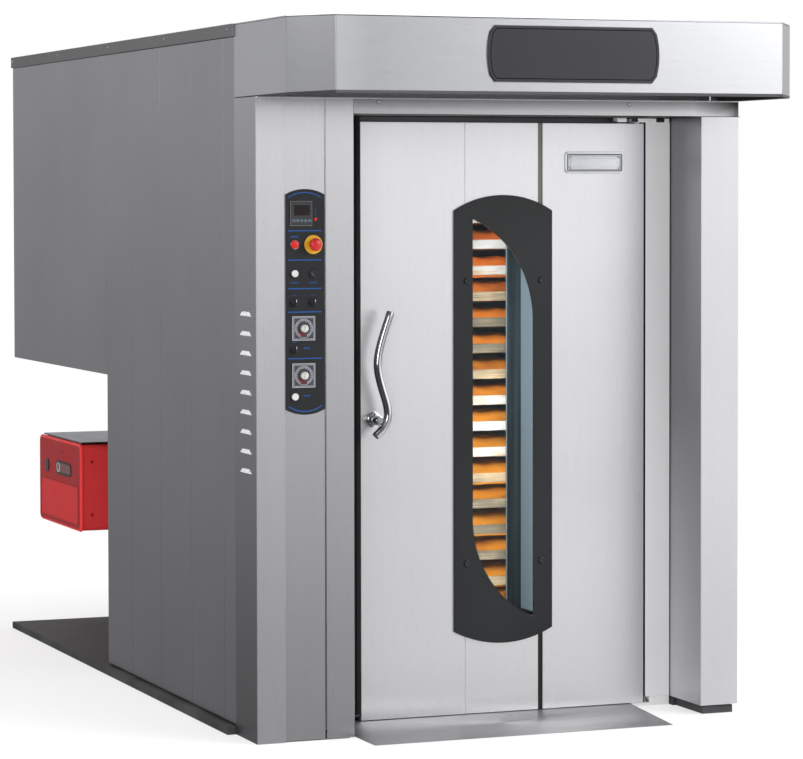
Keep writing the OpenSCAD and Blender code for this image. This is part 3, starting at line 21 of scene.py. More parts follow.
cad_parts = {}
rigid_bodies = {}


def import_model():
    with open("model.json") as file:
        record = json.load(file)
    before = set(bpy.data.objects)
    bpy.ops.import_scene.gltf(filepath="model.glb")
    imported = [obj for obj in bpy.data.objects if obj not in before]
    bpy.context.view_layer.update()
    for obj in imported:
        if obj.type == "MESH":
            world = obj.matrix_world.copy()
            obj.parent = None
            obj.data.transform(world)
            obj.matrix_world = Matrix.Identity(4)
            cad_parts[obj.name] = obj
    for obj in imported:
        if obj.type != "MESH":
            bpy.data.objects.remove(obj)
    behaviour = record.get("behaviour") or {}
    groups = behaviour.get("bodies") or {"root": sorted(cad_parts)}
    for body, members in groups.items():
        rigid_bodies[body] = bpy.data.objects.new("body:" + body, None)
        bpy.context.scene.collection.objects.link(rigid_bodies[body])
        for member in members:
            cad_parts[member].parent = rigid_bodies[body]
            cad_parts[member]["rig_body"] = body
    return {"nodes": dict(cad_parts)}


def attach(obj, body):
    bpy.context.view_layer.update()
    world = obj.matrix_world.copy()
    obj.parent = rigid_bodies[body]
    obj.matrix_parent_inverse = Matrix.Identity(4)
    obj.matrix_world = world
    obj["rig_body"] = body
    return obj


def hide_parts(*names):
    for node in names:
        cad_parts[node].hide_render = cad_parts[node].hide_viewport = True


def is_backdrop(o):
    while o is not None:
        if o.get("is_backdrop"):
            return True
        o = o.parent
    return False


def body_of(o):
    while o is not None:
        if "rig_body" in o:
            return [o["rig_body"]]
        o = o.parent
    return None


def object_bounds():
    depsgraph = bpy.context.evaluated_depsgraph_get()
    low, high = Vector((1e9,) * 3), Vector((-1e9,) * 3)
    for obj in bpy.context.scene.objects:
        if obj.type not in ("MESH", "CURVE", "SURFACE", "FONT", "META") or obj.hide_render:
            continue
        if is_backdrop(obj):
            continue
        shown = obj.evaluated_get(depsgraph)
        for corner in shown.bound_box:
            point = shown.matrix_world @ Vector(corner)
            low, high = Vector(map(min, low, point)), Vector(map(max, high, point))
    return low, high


LOG = logging.getLogger("oven")
MM = 0.001
CORNER = Vector((-0.8385, -1.26135, 0.0))
SHARP = 28.0  # degrees over which an edge stays sharp
Color = tuple[float, float, float]
Point = tuple[float, float, float]
Pair = tuple[float, float]
Socket = bpy.types.NodeSocket


def at(x: float, y: float, z: float) -> Vector:
    """Turns a place in the oven's own millimetres into the model's frame.

    Args:
        x: Millimetres to the right.
        y: Millimetres to the back.
        z: Millimetres up.

    Returns:
        The point in metres.
    """
    return CORNER + Vector((x, y, z)) * MM


# ----------------------------------------------------------------------------- finishes


class Tree:
    """Short hand for adding nodes to a tree."""

    def __init__(self, tree: bpy.types.NodeTree) -> None:
        """Keeps the tree.

        Args:
            tree: The tree.
        """
        self.tree = tree

    def add(self, kind: str) -> bpy.types.Node:
        """Adds a node of the given kind."""
        return self.tree.nodes.new(kind)

    def link(self, source: Socket, target: Socket) -> None:
        """Links two sockets."""
        self.tree.links.new(source, target)

    def remap(self, source: Socket, low: float, high: float, start: float = 0.3,
              end: float = 0.7) -> Socket:
        """Maps a value from start..end to low..high.

        Args:
            source: The value's socket.
            low: Result at the start.
            high: Result at the end.
            start: Value that gives low.
            end: Value that gives high.

        Returns:
            The mapped value's socket.
        """
        node = self.add("ShaderNodeMapRange")
        for name, value in (("From Min", start), ("From Max", end), ("To Min", low), ("To Max", high)):
            node.inputs[name].default_value = value
        self.link(source, node.inputs["Value"])
        return node.outputs[0]

    def blend(self, source: Socket, stops: Sequence[tuple[float, Color]]) -> Socket:
        """Turns a value into a colour.

        Args:
            source: The value's socket.
            stops: Places on the ramp with their colours, lowest first.

        Returns:
            The colour's socket.
        """
        ramp = self.add("ShaderNodeValToRGB")
        elements = ramp.color_ramp.elements
        while len(elements) < len(stops):
            elements.new(0.5)
        for element, (place, color) in zip(elements, stops):
            element.position = place
            element.color = (*color, 1.0)
        self.link(source, ramp.inputs["Fac"])
        return ramp.outputs["Color"]

    def math(self, kind: str, a: Socket, b: Socket | float | None = None) -> Socket:
        """Adds a Math node.

        Args:
            kind: The node's operation.
            a: First value.
            b: Second value, a number, or none.

        Returns:
            The result's socket.
        """
        node = self.add("ShaderNodeMath")
        node.operation = kind
        self.link(a, node.inputs[0])
        if isinstance(b, (int, float)):
            node.inputs[1].default_value = b
        elif b is not None:
            self.link(b, node.inputs[1])
        return node.outputs[0]


class Nodes(Tree):
    """Short hand for building one material's node tree."""

    def __init__(self, material: bpy.types.Material) -> None:
        """Empties the tree and adds its shader and output.

        Args:
            material: The material to fill.
        """
        material.use_nodes = True
        super().__init__(material.node_tree)
        self.tree.nodes.clear()
        self.shader = self.add("ShaderNodeBsdfPrincipled")
        output = self.add("ShaderNodeOutputMaterial")
        self.link(self.shader.outputs[0], output.inputs[0])
        self.place = self.add("ShaderNodeTexCoord").outputs["Object"]

    def base(self, color: Socket) -> None:
        """Links a colour to the shader's base colour."""
        self.link(color, self.shader.inputs["Base Color"])

    def matt(self, value: Socket) -> None:
        """Links a value to the shader's roughness."""
        self.link(value, self.shader.inputs["Roughness"])

    def set(self, **values: object) -> None:
        """Sets the shader's own sockets; underscores in a name stand for blanks."""
        for name, value in values.items():
            self.shader.inputs[name.replace("_", " ")].default_value = value

    def noise(self, scale: float, detail: float = 2.0, stretch: Point = (1.0, 1.0, 1.0),
              shift: float = 0.0) -> Socket:
        """Adds noise over the object's own coordinates.

        Args:
            scale: Cells per metre.
            detail: Octaves.
            stretch: Factor on each axis; a small one draws the pattern out along it.
            shift: Moves the pattern, so that two finishes differ.

        Returns:
            The noise value's socket.
        """
        mapping = self.add("ShaderNodeMapping")
        mapping.inputs["Scale"].default_value = stretch
        mapping.inputs["Location"].default_value = (shift, shift * 0.7, shift * 1.3)
        self.link(self.place, mapping.inputs["Vector"])
        noise = self.add("ShaderNodeTexNoise")
        noise.inputs["Scale"].default_value = scale
        noise.inputs["Detail"].default_value = detail
        self.link(mapping.outputs[0], noise.inputs["Vector"])
        return noise.outputs["Fac"]

    def mix(self, factor: Socket, a: Socket, b: Socket) -> Socket:
        """Mixes two colours by a value.

        Args:
            factor: Share of the second colour.
            a: First colour.
            b: Second colour.

        Returns:
            The mixed colour's socket.
        """
        node = self.add("ShaderNodeMix")
        node.data_type = "RGBA"
        self.link(factor, node.inputs["Factor"])
        self.link(a, node.inputs["A"])
        self.link(b, node.inputs["B"])
        return node.outputs["Result"]

    def axis(self, name: str) -> Socket:
        """Gives one coordinate of the object's place, named X, Y or Z.

        Args:
            name: X, Y or Z.

        Returns:
            The coordinate's socket, in metres.
        """
        node = self.add("ShaderNodeSeparateXYZ")
        self.link(self.place, node.inputs[0])
        return node.outputs[name]

    def fade(self, color: Socket, axis: str, low: float, high: float, start: float,
             end: float) -> Socket:
        """Scales a colour by a factor that goes from low to high between two places on an axis.

        Args:
            color: The colour's socket.
            axis: X, Y or Z.
            low: Factor up to the start.
            high: Factor from the end on.
            start: First place, in metres.
            end: Second place, in metres.

        Returns:
            The scaled colour's socket.
        """
        node = self.add("ShaderNodeVectorMath")
        node.operation = "SCALE"
        self.link(color, node.inputs[0])
        self.link(self.remap(self.axis(axis), low, high, start, end), node.inputs["Scale"])
        return node.outputs[0]

    def bump(self, height: Socket, depth: float, strength: float = 1.0) -> None:
        """Presses a height pattern of that depth in metres into the shader's normal.

        Args:
            height: The pattern's socket.
            depth: Its depth in metres.
            strength: Its share.
        """
        node = self.add("ShaderNodeBump")
        node.inputs["Strength"].default_value = strength
        node.inputs["Distance"].default_value = depth
        self.link(height, node.inputs["Height"])
        self.link(node.outputs[0], self.shader.inputs["Normal"])


def shade(color: Color, factor: float) -> Color:
    """Makes a colour lighter or darker by a factor."""
    return tuple(min(1.0, c * factor) for c in color)


class Grain(Enum):
    """The way in which a steel sheet was brushed, as factors on the pattern's axes."""

    UP = (1.0, 1.0, 0.010)
    ALONG_X = (0.010, 1.0, 1.0)
    ALONG_Y = (1.0, 0.010, 1.0)


@dataclass(frozen=True)
class Finish:
    """A surface finish. Its material is made once, under its name."""

    name: str
    color: Color
    roughness: float = 0.4
    gloss: float = field(default=0.5, kw_only=True)

    def material(self) -> bpy.types.Material:
        """Gives the finish's material, which is made at the first call.

        Returns:
            The material.
        """
        name = f"{self.name}_finish"
        known = bpy.data.materials.get(name)
        if known:
            return known
        made = bpy.data.materials.new(name)
        nodes = Nodes(made)
        nodes.set(Base_Color=(*self.color, 1.0), Roughness=self.roughness,
                  Specular_IOR_Level=self.gloss)
        self.dress(nodes)
        return made

    def dress(self, nodes: Nodes) -> None:
        """Adds what the finish has beyond its colour and roughness."""
        raise NotImplementedError


@dataclass(frozen=True)
class BrushedSteel(Finish):
    """Stainless steel sheet with its fine brushed grain and soft cloudy tone."""

    grain: Grain = Grain.UP
    streak: float = 0.008
    cloud: float = 0.025
    pull: float = 0.8
    metal: float = 1.0
    # Painted light and shade: rise scales the colour between two factors up the sheet, over the height range
    # after it, and the last two fields do the same across it.
    rise: Pair = (1.0, 1.0)
    painted_light_z_span: Pair = (0.0, 2.0)
    painted_light_x: Pair = (1.0, 1.0)
    painted_light_x_span: Pair = (0.0, 1.0)

    def dress(self, nodes: Nodes) -> None:
        """Draws the grain in colour, gloss and relief, and paints light and shade into the colour up and
        across the sheet.

        Args:
            nodes: The material's nodes.
        """
        fine = nodes.noise(900.0, 3.0, self.grain.value)
        broad = nodes.noise(70.0, 3.0, self.grain.value, 3.0)
        cloud = nodes.noise(1.6, 2.0, shift=5.0)
        tone = nodes.math("ADD", nodes.remap(broad, -self.streak, self.streak),
                          nodes.remap(cloud, -self.cloud, self.cloud))
        tone = nodes.math("ADD", tone, nodes.remap(fine, -self.streak, self.streak))
        tone = nodes.math("ADD", tone, 0.5)
        spread = self.streak * 2 + self.cloud
        color = nodes.blend(tone, ((0.5 - spread, shade(self.color, 1 - spread)),
                                   (0.5 + spread, shade(self.color, 1 + spread))))
        # Painted light and shade: the colour scaled up the sheet and across it.
        color = nodes.fade(color, "Z", *self.rise, *self.painted_light_z_span)
        nodes.base(nodes.fade(color, "X", *self.painted_light_x, *self.painted_light_x_span))
        nodes.matt(nodes.remap(fine, self.roughness - 0.03, self.roughness + 0.04))
        nodes.set(Metallic=self.metal, Anisotropic=self.pull,
                  Anisotropic_Rotation=0.25 if self.grain is Grain.ALONG_X else 0.0)
        tangent = nodes.add("ShaderNodeTangent")
        tangent.direction_type, tangent.axis = "RADIAL", "Z"
        nodes.link(tangent.outputs[0], nodes.shader.inputs["Tangent"])
        nodes.bump(fine, 0.00002, 0.1)


@dataclass(frozen=True)
class Polished(Finish):
    """Bright plated or polished metal with faint hairlines."""

    def dress(self, nodes: Nodes) -> None:
        """Adds hairlines and a trace of smear.

        Args:
            nodes: The material's nodes.
        """
        nodes.set(Metallic=1.0)
        smear = nodes.noise(14.0, 3.0)
        nodes.matt(nodes.remap(smear, self.roughness, self.roughness + 0.06))
        nodes.bump(nodes.noise(600.0, 2.0, (1.0, 1.0, 0.2)), 0.00002, 0.4)


@dataclass(frozen=True)
class Paint(Finish):
    """Sprayed or powder coated metal with a fine orange peel and slightly worn tone."""

    peel: float = 0.00012
    wear: float = 0.10

    def dress(self, nodes: Nodes) -> None:
        """Adds the peel, the tone's variation and the coat's gloss.

        Args:
            nodes: The material's nodes.
        """
        cloud = nodes.noise(6.0, 4.0, shift=2.0)
        nodes.base(nodes.blend(cloud, ((0.3, shade(self.color, 1 - self.wear)),
                                       (0.7, shade(self.color, 1 + self.wear)))))
        nodes.matt(nodes.remap(cloud, self.roughness - 0.06, self.roughness + 0.08))
        nodes.bump(nodes.noise(420.0, 2.0), self.peel, 0.5)


@dataclass(frozen=True)
class Moulded(Finish):
    """Moulded plastic or rubber with a fine pebbled skin."""

    def dress(self, nodes: Nodes) -> None:
        """Adds the pebbled skin.

        Args:
            nodes: The material's nodes.
        """
        skin = nodes.noise(1500.0, 2.0)
        nodes.base(nodes.blend(skin, ((0.2, shade(self.color, 0.92)), (0.8, shade(self.color, 1.06)))))
        nodes.matt(nodes.remap(nodes.noise(40.0, 2.0), self.roughness - 0.04, self.roughness + 0.05))
        nodes.bump(skin, 0.00005, 0.4)


@dataclass(frozen=True)
class Enamel(Finish):
    """Glossy coat on glass or sheet, with soft patches in its tone."""

    fade: float = 0.25
    coat: float = 0.25

    def dress(self, nodes: Nodes) -> None:
        """Adds the clear coat, and dust that varies the tone and the gloss.

        Args:
            nodes: The material's nodes.
        """
        nodes.set(Coat_Weight=self.coat, Coat_Roughness=0.1)
        dust = nodes.noise(3.0, 5.0, (1.0, 1.0, 0.4))
        nodes.base(nodes.blend(dust, ((0.3, shade(self.color, 1 - self.fade)),
                                      (0.7, shade(self.color, 1 + self.fade)))))
        nodes.matt(nodes.remap(dust, self.roughness, self.roughness + 0.1))


@dataclass(frozen=True)
class Streaked(Finish):
    """Printed border of a pane, in which upright streaks of a paler blue show."""

    pale: Color = (0.10, 0.14, 0.165)

    def dress(self, nodes: Nodes) -> None:
        """Draws the streaks up the pane.

        Args:
            nodes: The material's nodes.
        """
        streaks = nodes.noise(55.0, 2.0, (1.0, 1.0, 0.02))
        patches = nodes.noise(3.0, 2.0, (0.2, 0.2, 1.0), 2.0)
        tone = nodes.math("ADD", nodes.remap(streaks, 0.0, 0.75, 0.35, 0.65),
                          nodes.remap(patches, -0.2, 0.25))
        color = nodes.blend(tone, ((0.1, self.color), (0.9, self.pale)))
        nodes.base(nodes.fade(color, "Z", 0.55, 1.15, 0.4, 1.4))


@dataclass(frozen=True)
class ClearGlass(Finish):
    """Thin clear pane: mostly see-through with a clean gloss."""

    alpha: float = 0.035

    def dress(self, nodes: Nodes) -> None:
        """Makes the pane see-through with a faint smear in its gloss.

        Args:
            nodes: The material's nodes.
        """
        nodes.set(Alpha=self.alpha, IOR=1.5)
        nodes.matt(nodes.remap(nodes.noise(8.0, 3.0), 0.02, 0.06))


@dataclass(frozen=True)
class Glowing(Finish):
    """A lit lens, ribbed and slightly uneven."""

    glow: float = 1.0
    rise: Pair = (1.0, 1.0)

    def dress(self, nodes: Nodes) -> None:
        """Adds the light, uneven along the lens.

        Args:
            nodes: The material's nodes.
        """
        even = nodes.blend(nodes.noise(5.0, 2.0, (1.0, 1.0, 0.3)),
                           ((0.3, shade(self.color, 0.86)), (0.7, self.color)))
        even = nodes.fade(even, "Z", *self.rise, 0.4, 1.4)
        nodes.base(even)
        nodes.link(even, nodes.shader.inputs["Emission Color"])
        nodes.set(Emission_Strength=self.glow)


@dataclass(frozen=True)
class Crust(Finish):
    """Baked bread: golden sides and a browner top, deeper in the rack's upper half."""

    top: Color = (0.30, 0.085, 0.014)
    deep: Color = (0.48, 0.095, 0.010)

    def dress(self, nodes: Nodes) -> None:
        """Browns the crust unevenly and roughens it.

        Args:
            nodes: The material's nodes.
        """
        bake = nodes.noise(11.0, 3.0, (0.5, 1.0, 1.0))
        golden = nodes.blend(bake, ((0.30, self.top), (0.46, self.color), (0.75, shade(self.color, 1.25))))
        dark = nodes.blend(bake, ((0.30, shade(self.top, 0.7)), (0.46, self.deep),
                                  (0.75, shade(self.deep, 1.3))))
        height = nodes.remap(nodes.axis("Z"), 0.0, 1.0, 0.95, 1.55)
        nodes.base(nodes.mix(height, golden, dark))
        nodes.set(Subsurface_Weight=0.08, Subsurface_Scale=0.008, Subsurface_Radius=(1.0, 0.5, 0.2))
        relief = nodes.math("ADD", nodes.noise(38.0, 5.0), nodes.noise(200.0, 3.0))
        nodes.bump(relief, 0.0014, 0.6)


@dataclass(frozen=True)
class BakedTray(Finish):
    """Tray sheet: rubbed pale on some levels, browned and streaked by baking on the levels between."""

    warm: Color = (0.60, 0.45, 0.26)
    burnt: Color = (0.23, 0.20, 0.135)
    palest: float = 0.934
    wave: float = 0.62

    def dress(self, nodes: Nodes) -> None:
        """Tones the trays by a wave over their height and streaks them along their length.

        Args:
            nodes: The material's nodes.
        """
        turn = nodes.math("MULTIPLY", nodes.math("SUBTRACT", nodes.axis("Z"), self.palest),
                          math.tau / self.wave)
        level = nodes.remap(nodes.math("COSINE", turn), 0.06, 0.94, -1.0, 1.0)
        streaks = nodes.noise(330.0, 4.0, (0.02, 0.02, 1.0))
        patches = nodes.noise(16.0, 2.0, (1.0, 1.0, 0.3), 4.0)
        low = nodes.remap(nodes.axis("Z"), -0.60, 0.0, 0.30, 0.62)
        tone = nodes.math("ADD", nodes.math("ADD", level, low), nodes.remap(streaks, -0.22, 0.22, 0.3, 0.7))
        tone = nodes.math("ADD", tone, nodes.remap(patches, -0.10, 0.10))
        color = nodes.blend(tone, ((0.0, shade(self.burnt, 0.7)), (0.18, self.burnt), (0.58, self.warm),
                                   (0.86, self.color)))
        nodes.base(nodes.fade(color, "Z", 1.0, 0.68, 0.95, 1.5))
        nodes.set(Metallic=0.2)
        nodes.bump(streaks, 0.0003, 0.3)


@dataclass(frozen=True)
class Fibre(Finish):
    """Mineral wool: matted and soft."""

    def dress(self, nodes: Nodes) -> None:
        """Mats the surface.

        Args:
            nodes: The material's nodes.
        """
        matted = nodes.noise(90.0, 8.0, (1.0, 1.0, 0.4))
        nodes.base(nodes.blend(matted, ((0.3, shade(self.color, 0.7)), (0.7, shade(self.color, 1.15)))))
        nodes.bump(matted, 0.003, 0.8)


@dataclass(frozen=True)
class Scaled(Finish):
    """Steel that has been red hot: blued and scaled in patches."""

    blue: Color = (0.12, 0.13, 0.20)

    def dress(self, nodes: Nodes) -> None:
        """Mixes straw and blue tones in patches.

        Args:
            nodes: The material's nodes.
        """
        heat = nodes.noise(5.0, 6.0)
        nodes.base(nodes.blend(heat, ((0.35, self.blue), (0.5, self.color), (0.7, shade(self.color, 1.6)))))
        nodes.matt(nodes.remap(heat, self.roughness - 0.15, self.roughness + 0.2))
        nodes.set(Metallic=0.9)
        nodes.bump(nodes.noise(120.0, 5.0), 0.0006, 0.5)


@dataclass(frozen=True)
class StudioFloor(Finish):
    """Pale studio floor: soft shadows near the oven, plain white further away."""

    own: float = 0.60
    near: float = 2.4
    far: float = 6.0

    def dress(self, nodes: Nodes) -> None:
        """Fades from the shadowed floor to plain white with the distance from the oven.

        Args:
            nodes: The material's nodes.
        """
        flat = nodes.add("ShaderNodeVectorMath")
        flat.operation = "LENGTH"
        nodes.link(nodes.place, flat.inputs[0])
        away = nodes.remap(flat.outputs["Value"], 0.0, 1.0, self.near, self.far)
        nodes.base(nodes.blend(away, ((0.0, self.color), (1.0, (0.0, 0.0, 0.0)))))
        nodes.link(nodes.blend(away, ((0.0, (self.own,) * 3), (1.0, (1.0, 1.0, 1.0)))),
                   nodes.shader.inputs["Emission Color"])
        nodes.set(Emission_Strength=1.0, Specular_IOR_Level=0.0)


# Front steel: lightens slightly upwards, a painted light gradient.
FRONT_STEEL = BrushedSteel("front_steel", (0.70, 0.70, 0.715), 0.30, rise=(1.0, 1.04))
# Fascia steel: a darker copy of the front steel, with painted shade towards the floor.
FASCIA_STEEL = BrushedSteel("fascia_steel", (0.66, 0.66, 0.675), 0.30, rise=(0.86, 1.10))
# Door steel: a lighter copy of the front steel, with painted light at its foot and towards its right.
DOOR_STEEL = BrushedSteel("door_steel", (0.93, 0.93, 0.95), 0.30, metal=0.80, rise=(1.10, 0.95),
                          painted_light_z_span=(0.15, 0.75), painted_light_x=(0.97, 1.06), painted_light_x_span=(-0.42, 0.60))
# Pillar steel: a lighter copy of the front steel, with painted light towards the floor.
PILLAR_STEEL = BrushedSteel("pillar_steel", (0.78, 0.78, 0.80), 0.30, metal=0.80, rise=(1.14, 0.92))
# Post steel: a lit copy of the steel, matt and near white, with a slight painted rise in light upwards:
# painted light.
POST_LIT_STEEL = BrushedSteel("post_lit_steel", (0.97, 0.97, 0.985), 0.40, metal=0.0, rise=(0.96, 1.04))
# Header steel: a lighter copy of the front steel, with painted shade along its top under the canopy and over
# its right end.
HEADER_SHADE_STEEL = BrushedSteel("header_shade_steel", (0.95, 0.95, 0.965), 0.30, Grain.ALONG_X, rise=(1.20, 0.50),
                            painted_light_z_span=(1.966, 2.010), painted_light_x=(1.0, 0.07), painted_light_x_span=(0.67, 0.825))
# Canopy steel: painted light on its left chamfer, and painted shade along the rest.
CANOPY_STEEL = BrushedSteel("canopy_steel", (0.55, 0.555, 0.57), 0.30, Grain.ALONG_X, pull=0.4,
                            painted_light_x=(1.18, 0.91), painted_light_x_span=(-0.80, -0.62))
SIDE_STEEL = BrushedSteel("side_steel", (0.50, 0.50, 0.515), 0.34, cloud=0.04)
# Cheek steel: painted shade towards the floor and painted light at the top of the pillar's side sheet.
CHEEK_SHADE_STEEL = BrushedSteel("cheek_shade_steel", (0.49, 0.49, 0.505), 0.34, cloud=0.03, rise=(0.66, 1.32))
ROOF_STEEL = BrushedSteel("roof_steel", (0.24, 0.24, 0.245), 0.50, Grain.ALONG_Y, metal=0.8)
EDGE_STEEL = BrushedSteel("edge_steel", (0.95, 0.95, 0.96), 0.45, metal=0.35)
RAMP_STEEL = BrushedSteel("ramp_steel", (0.24, 0.24, 0.25), 0.42, Grain.ALONG_X, cloud=0.08, metal=0.6)
# Return steel: a shaded copy of the pillar steel for its return face, with painted light towards its foot.
RETURN_SHADE_STEEL = BrushedSteel("return_shade_steel", (0.265, 0.265, 0.274), 0.36, metal=0.85, rise=(2.9, 1.10),
                            painted_light_z_span=(0.1, 1.0))
SHADOW_STEEL = BrushedSteel("shadow_steel", (0.13, 0.13, 0.135), 0.45)
# Groove steel: painted shade in the door's groove, lightening upwards.
GROOVE_SHADE_STEEL = BrushedSteel("groove_shade_steel", (0.075, 0.073, 0.066), 0.45, metal=0.6, rise=(0.5, 3.0),
                            painted_light_z_span=(0.3, 1.7))
# Badge groove shade: near black steel, painted shade in the badge's grooves and round its outline.
BADGE_GROOVE_SHADE = BrushedSteel("badge_groove_shade", (0.075, 0.075, 0.08), 0.35)
BADGE_FIELD = BrushedSteel("badge_field", (0.60, 0.61, 0.635), 0.24, Grain.ALONG_X)
LINER_STEEL = BrushedSteel("liner_steel", (0.40, 0.38, 0.35), 0.45, Grain.UP, 0.04, 0.12)
RACK_STEEL = BrushedSteel("rack_steel", (0.42, 0.41, 0.39), 0.42, Grain.UP, 0.04, 0.1)
EXCHANGER = Scaled("exchanger_steel", (0.34, 0.22, 0.12), 0.5)
WOOL = Fibre("mineral_wool", (0.62, 0.55, 0.34), 0.95)
BASE_PAINT = Paint("base_paint", (0.064, 0.062, 0.065), 0.62, wear=0.4, gloss=0.24)
BURNER_RED = Paint("burner_red", (0.40, 0.018, 0.020), 0.46, wear=0.06, gloss=0.16)
BURNER_BRIGHT = Paint("burner_bright", (0.66, 0.026, 0.030), 0.44, wear=0.05, gloss=0.14)
# Burner side: a lit copy of the burner red, painted light on the cover's shaded sides.
BURNER_SIDE_LIT = Paint("burner_side_lit", (0.96, 0.056, 0.060), 0.5, wear=0.05, gloss=0.2)
BURNER_LID = Polished("burner_lid", (0.18, 0.185, 0.195), 0.24)
BURNER_METAL = Paint("burner_metal", (0.16, 0.165, 0.175), 0.45)
SIGHT_GLASS = Enamel("sight_glass", (0.16, 0.02, 0.02), 0.1, 0.3)
MOTOR_PAINT = Paint("motor_paint", (0.05, 0.11, 0.20), 0.42)
PANEL_BLACK = Moulded("panel_black", (0.011, 0.012, 0.014), 0.45, gloss=0.35)
PRINT_BLUE = Paint("print_blue", (0.011, 0.082, 0.32), 0.5, 0.00002, 0.05, gloss=0.3)
PRINT_DIM = Paint("print_dim", (0.012, 0.048, 0.17), 0.5, 0.00002, 0.3, gloss=0.3)
INSTRUMENT = Moulded("instrument_plastic", (0.40, 0.40, 0.41), 0.4)
INSTRUMENT_DARK = Moulded("instrument_dark", (0.034, 0.038, 0.040), 0.42, gloss=0.35)
INSTRUMENT_EDGE = Moulded("instrument_edge", (0.085, 0.092, 0.10), 0.4)
DIAL_GREY = Moulded("dial_grey", (0.042, 0.043, 0.052), 0.35)
DIAL_LIGHT = Moulded("dial_light", (0.60, 0.61, 0.70), 0.35)
DIAL_RED = Paint("dial_red", (0.13, 0.010, 0.010), 0.4)
DISPLAY = Enamel("display_glass", (0.009, 0.004, 0.003), 0.3, 0.25, 0.05, gloss=0.3)
KEY_PALE = Moulded("key_pale", (0.10, 0.13, 0.16), 0.4)
YELLOW = Paint("signal_yellow", (0.74, 0.38, 0.012), 0.4, 0.00004, 0.08)
RED = Moulded("signal_red", (0.56, 0.018, 0.016), 0.3)
RED_LENS = Glowing("red_lens", (0.62, 0.018, 0.010), 0.22, 0.12)
WHITE = Moulded("white_plastic", (0.66, 0.66, 0.64), 0.35)
BLACK = Moulded("black_plastic", (0.018, 0.018, 0.020), 0.28)
CREAM = Moulded("cream_plastic", (0.64, 0.63, 0.61), 0.32)
PLATE_BLACK = Enamel("nameplate_black", (0.012, 0.012, 0.014), 0.12)
KEYLINE = Paint("nameplate_keyline", (0.30, 0.02, 0.02), 0.4, 0.00002, 0.05)
MASK_BLACK = Enamel("mask_black", (0.0112, 0.0125, 0.0132), 0.34, 0.35, 0.10, gloss=0.35)
GLASS_EDGE = Enamel("glass_edge", (0.020, 0.026, 0.030), 0.2, 0.1)
CLEAR_GLASS = ClearGlass("clear_glass", (0.10, 0.13, 0.14))
BORDER_BLUE = Streaked("border_blue", (0.026, 0.038, 0.045), 0.4)
LAMP_WHITE = Glowing("lamp_white", (0.20, 0.27, 0.31), 0.4, 0.42, rise=(1.1, 1.75))
DARK_FIXING = Paint("dark_fixing", (0.018, 0.019, 0.021), 0.35)
CHROME = Polished("chrome", (0.60, 0.61, 0.625), 0.05)
CHROME_DARK = Polished("collar_chrome", (0.50, 0.51, 0.53), 0.14)
GASKET = Moulded("gasket_rubber", (0.014, 0.012, 0.011), 0.7, gloss=0.2)
TRAY = BakedTray("tray_metal", (0.66, 0.66, 0.63), 0.45)
BREAD = Crust("bread_crust", (0.60, 0.225, 0.018), 0.6, gloss=0.12)
WHEEL = Moulded("wheel_black", (0.03, 0.03, 0.032), 0.6)
# Louvre highlight: pale paint on the pressed steel hoods, a painted highlight where their slopes catch the
# light.
LOUVRE_HIGHLIGHT = Paint("louvre_painted_highlight", (0.86, 0.87, 0.88), 0.4, 0.00002, 0.03)
FLOOR = StudioFloor("floor_pale", (0.42, 0.42, 0.42), 0.8)


# ----------------------------------------------------------------------------- shapes


class Axis(Enum):
    """An axis, with the two axes in which an outline across it is drawn."""

    X = (0, 1, 2)
    Y = (1, 0, 2)
    Z = (2, 0, 1)

    def point(self, along: float, a: float, b: float) -> Vector:
        """Gives the point at a distance along the axis and at a, b across it.

        Args:
            along: Millimetres along the axis.
            a: First coordinate across it.
            b: Second coordinate across it.

        Returns:
            The point in metres of the model's frame.
        """
        place = [0.0, 0.0, 0.0]
        for index, value in zip(self.value, (along, a, b)):
            place[index] = value
        return at(*place)


def smooth_shading(mesh: bmesh.types.BMesh, sharp: float) -> None:
    """Shades faces smooth and keeps the edges sharp that turn by more than sharp degrees.

    Args:
        mesh: The mesh.
        sharp: Degrees over which an edge stays sharp.
    """
    for face in mesh.faces:
        face.smooth = True
    for edge in mesh.edges:
        edge.smooth = edge.is_manifold and edge.calc_face_angle(0.0) < math.radians(sharp)


def finished(name: str, mesh: bmesh.types.BMesh, finishes: Sequence[Finish]) -> bpy.types.Object:
    """Turns a mesh into an object of the scene.

    Args:
        name: The object's name.
        mesh: Its mesh, which is freed.
        finishes: Finishes, in the order of the faces' material numbers.

    Returns:
        The object.
    """
    data = bpy.data.meshes.new(name)
    mesh.to_mesh(data)
    mesh.free()
    for finish in finishes:
        data.materials.append(finish.material())
    made = bpy.data.objects.new(name, data)
    bpy.context.scene.collection.objects.link(made)
    return made


def arc(start: Pair, end: Pair, rise: float, steps: int = 16) -> list[Pair]:
    """Gives points on an arc between two points.

    Args:
        start: First point.
        end: Last point.
        rise: Height of the arc over its chord, to the left of the way; negative for the right.
        steps: Number of stretches.

    Returns:
        The points, both ends among them.
    """
    a, b = Vector(start), Vector(end)
    chord = b - a
    side = Vector((-chord.y, chord.x)).normalized()
    radius = (chord.length ** 2 / 4 + rise ** 2) / (2 * rise)
    half = math.asin(chord.length / 2 / abs(radius))
    points = []
    for i in range(steps + 1):
        turn = half * (2 * i / steps - 1)
        middle = (a + b) / 2 + chord.normalized() * (abs(radius) * math.sin(turn))
        points.append(tuple(middle + side * (radius * math.cos(turn) - (radius - rise))))
    return points


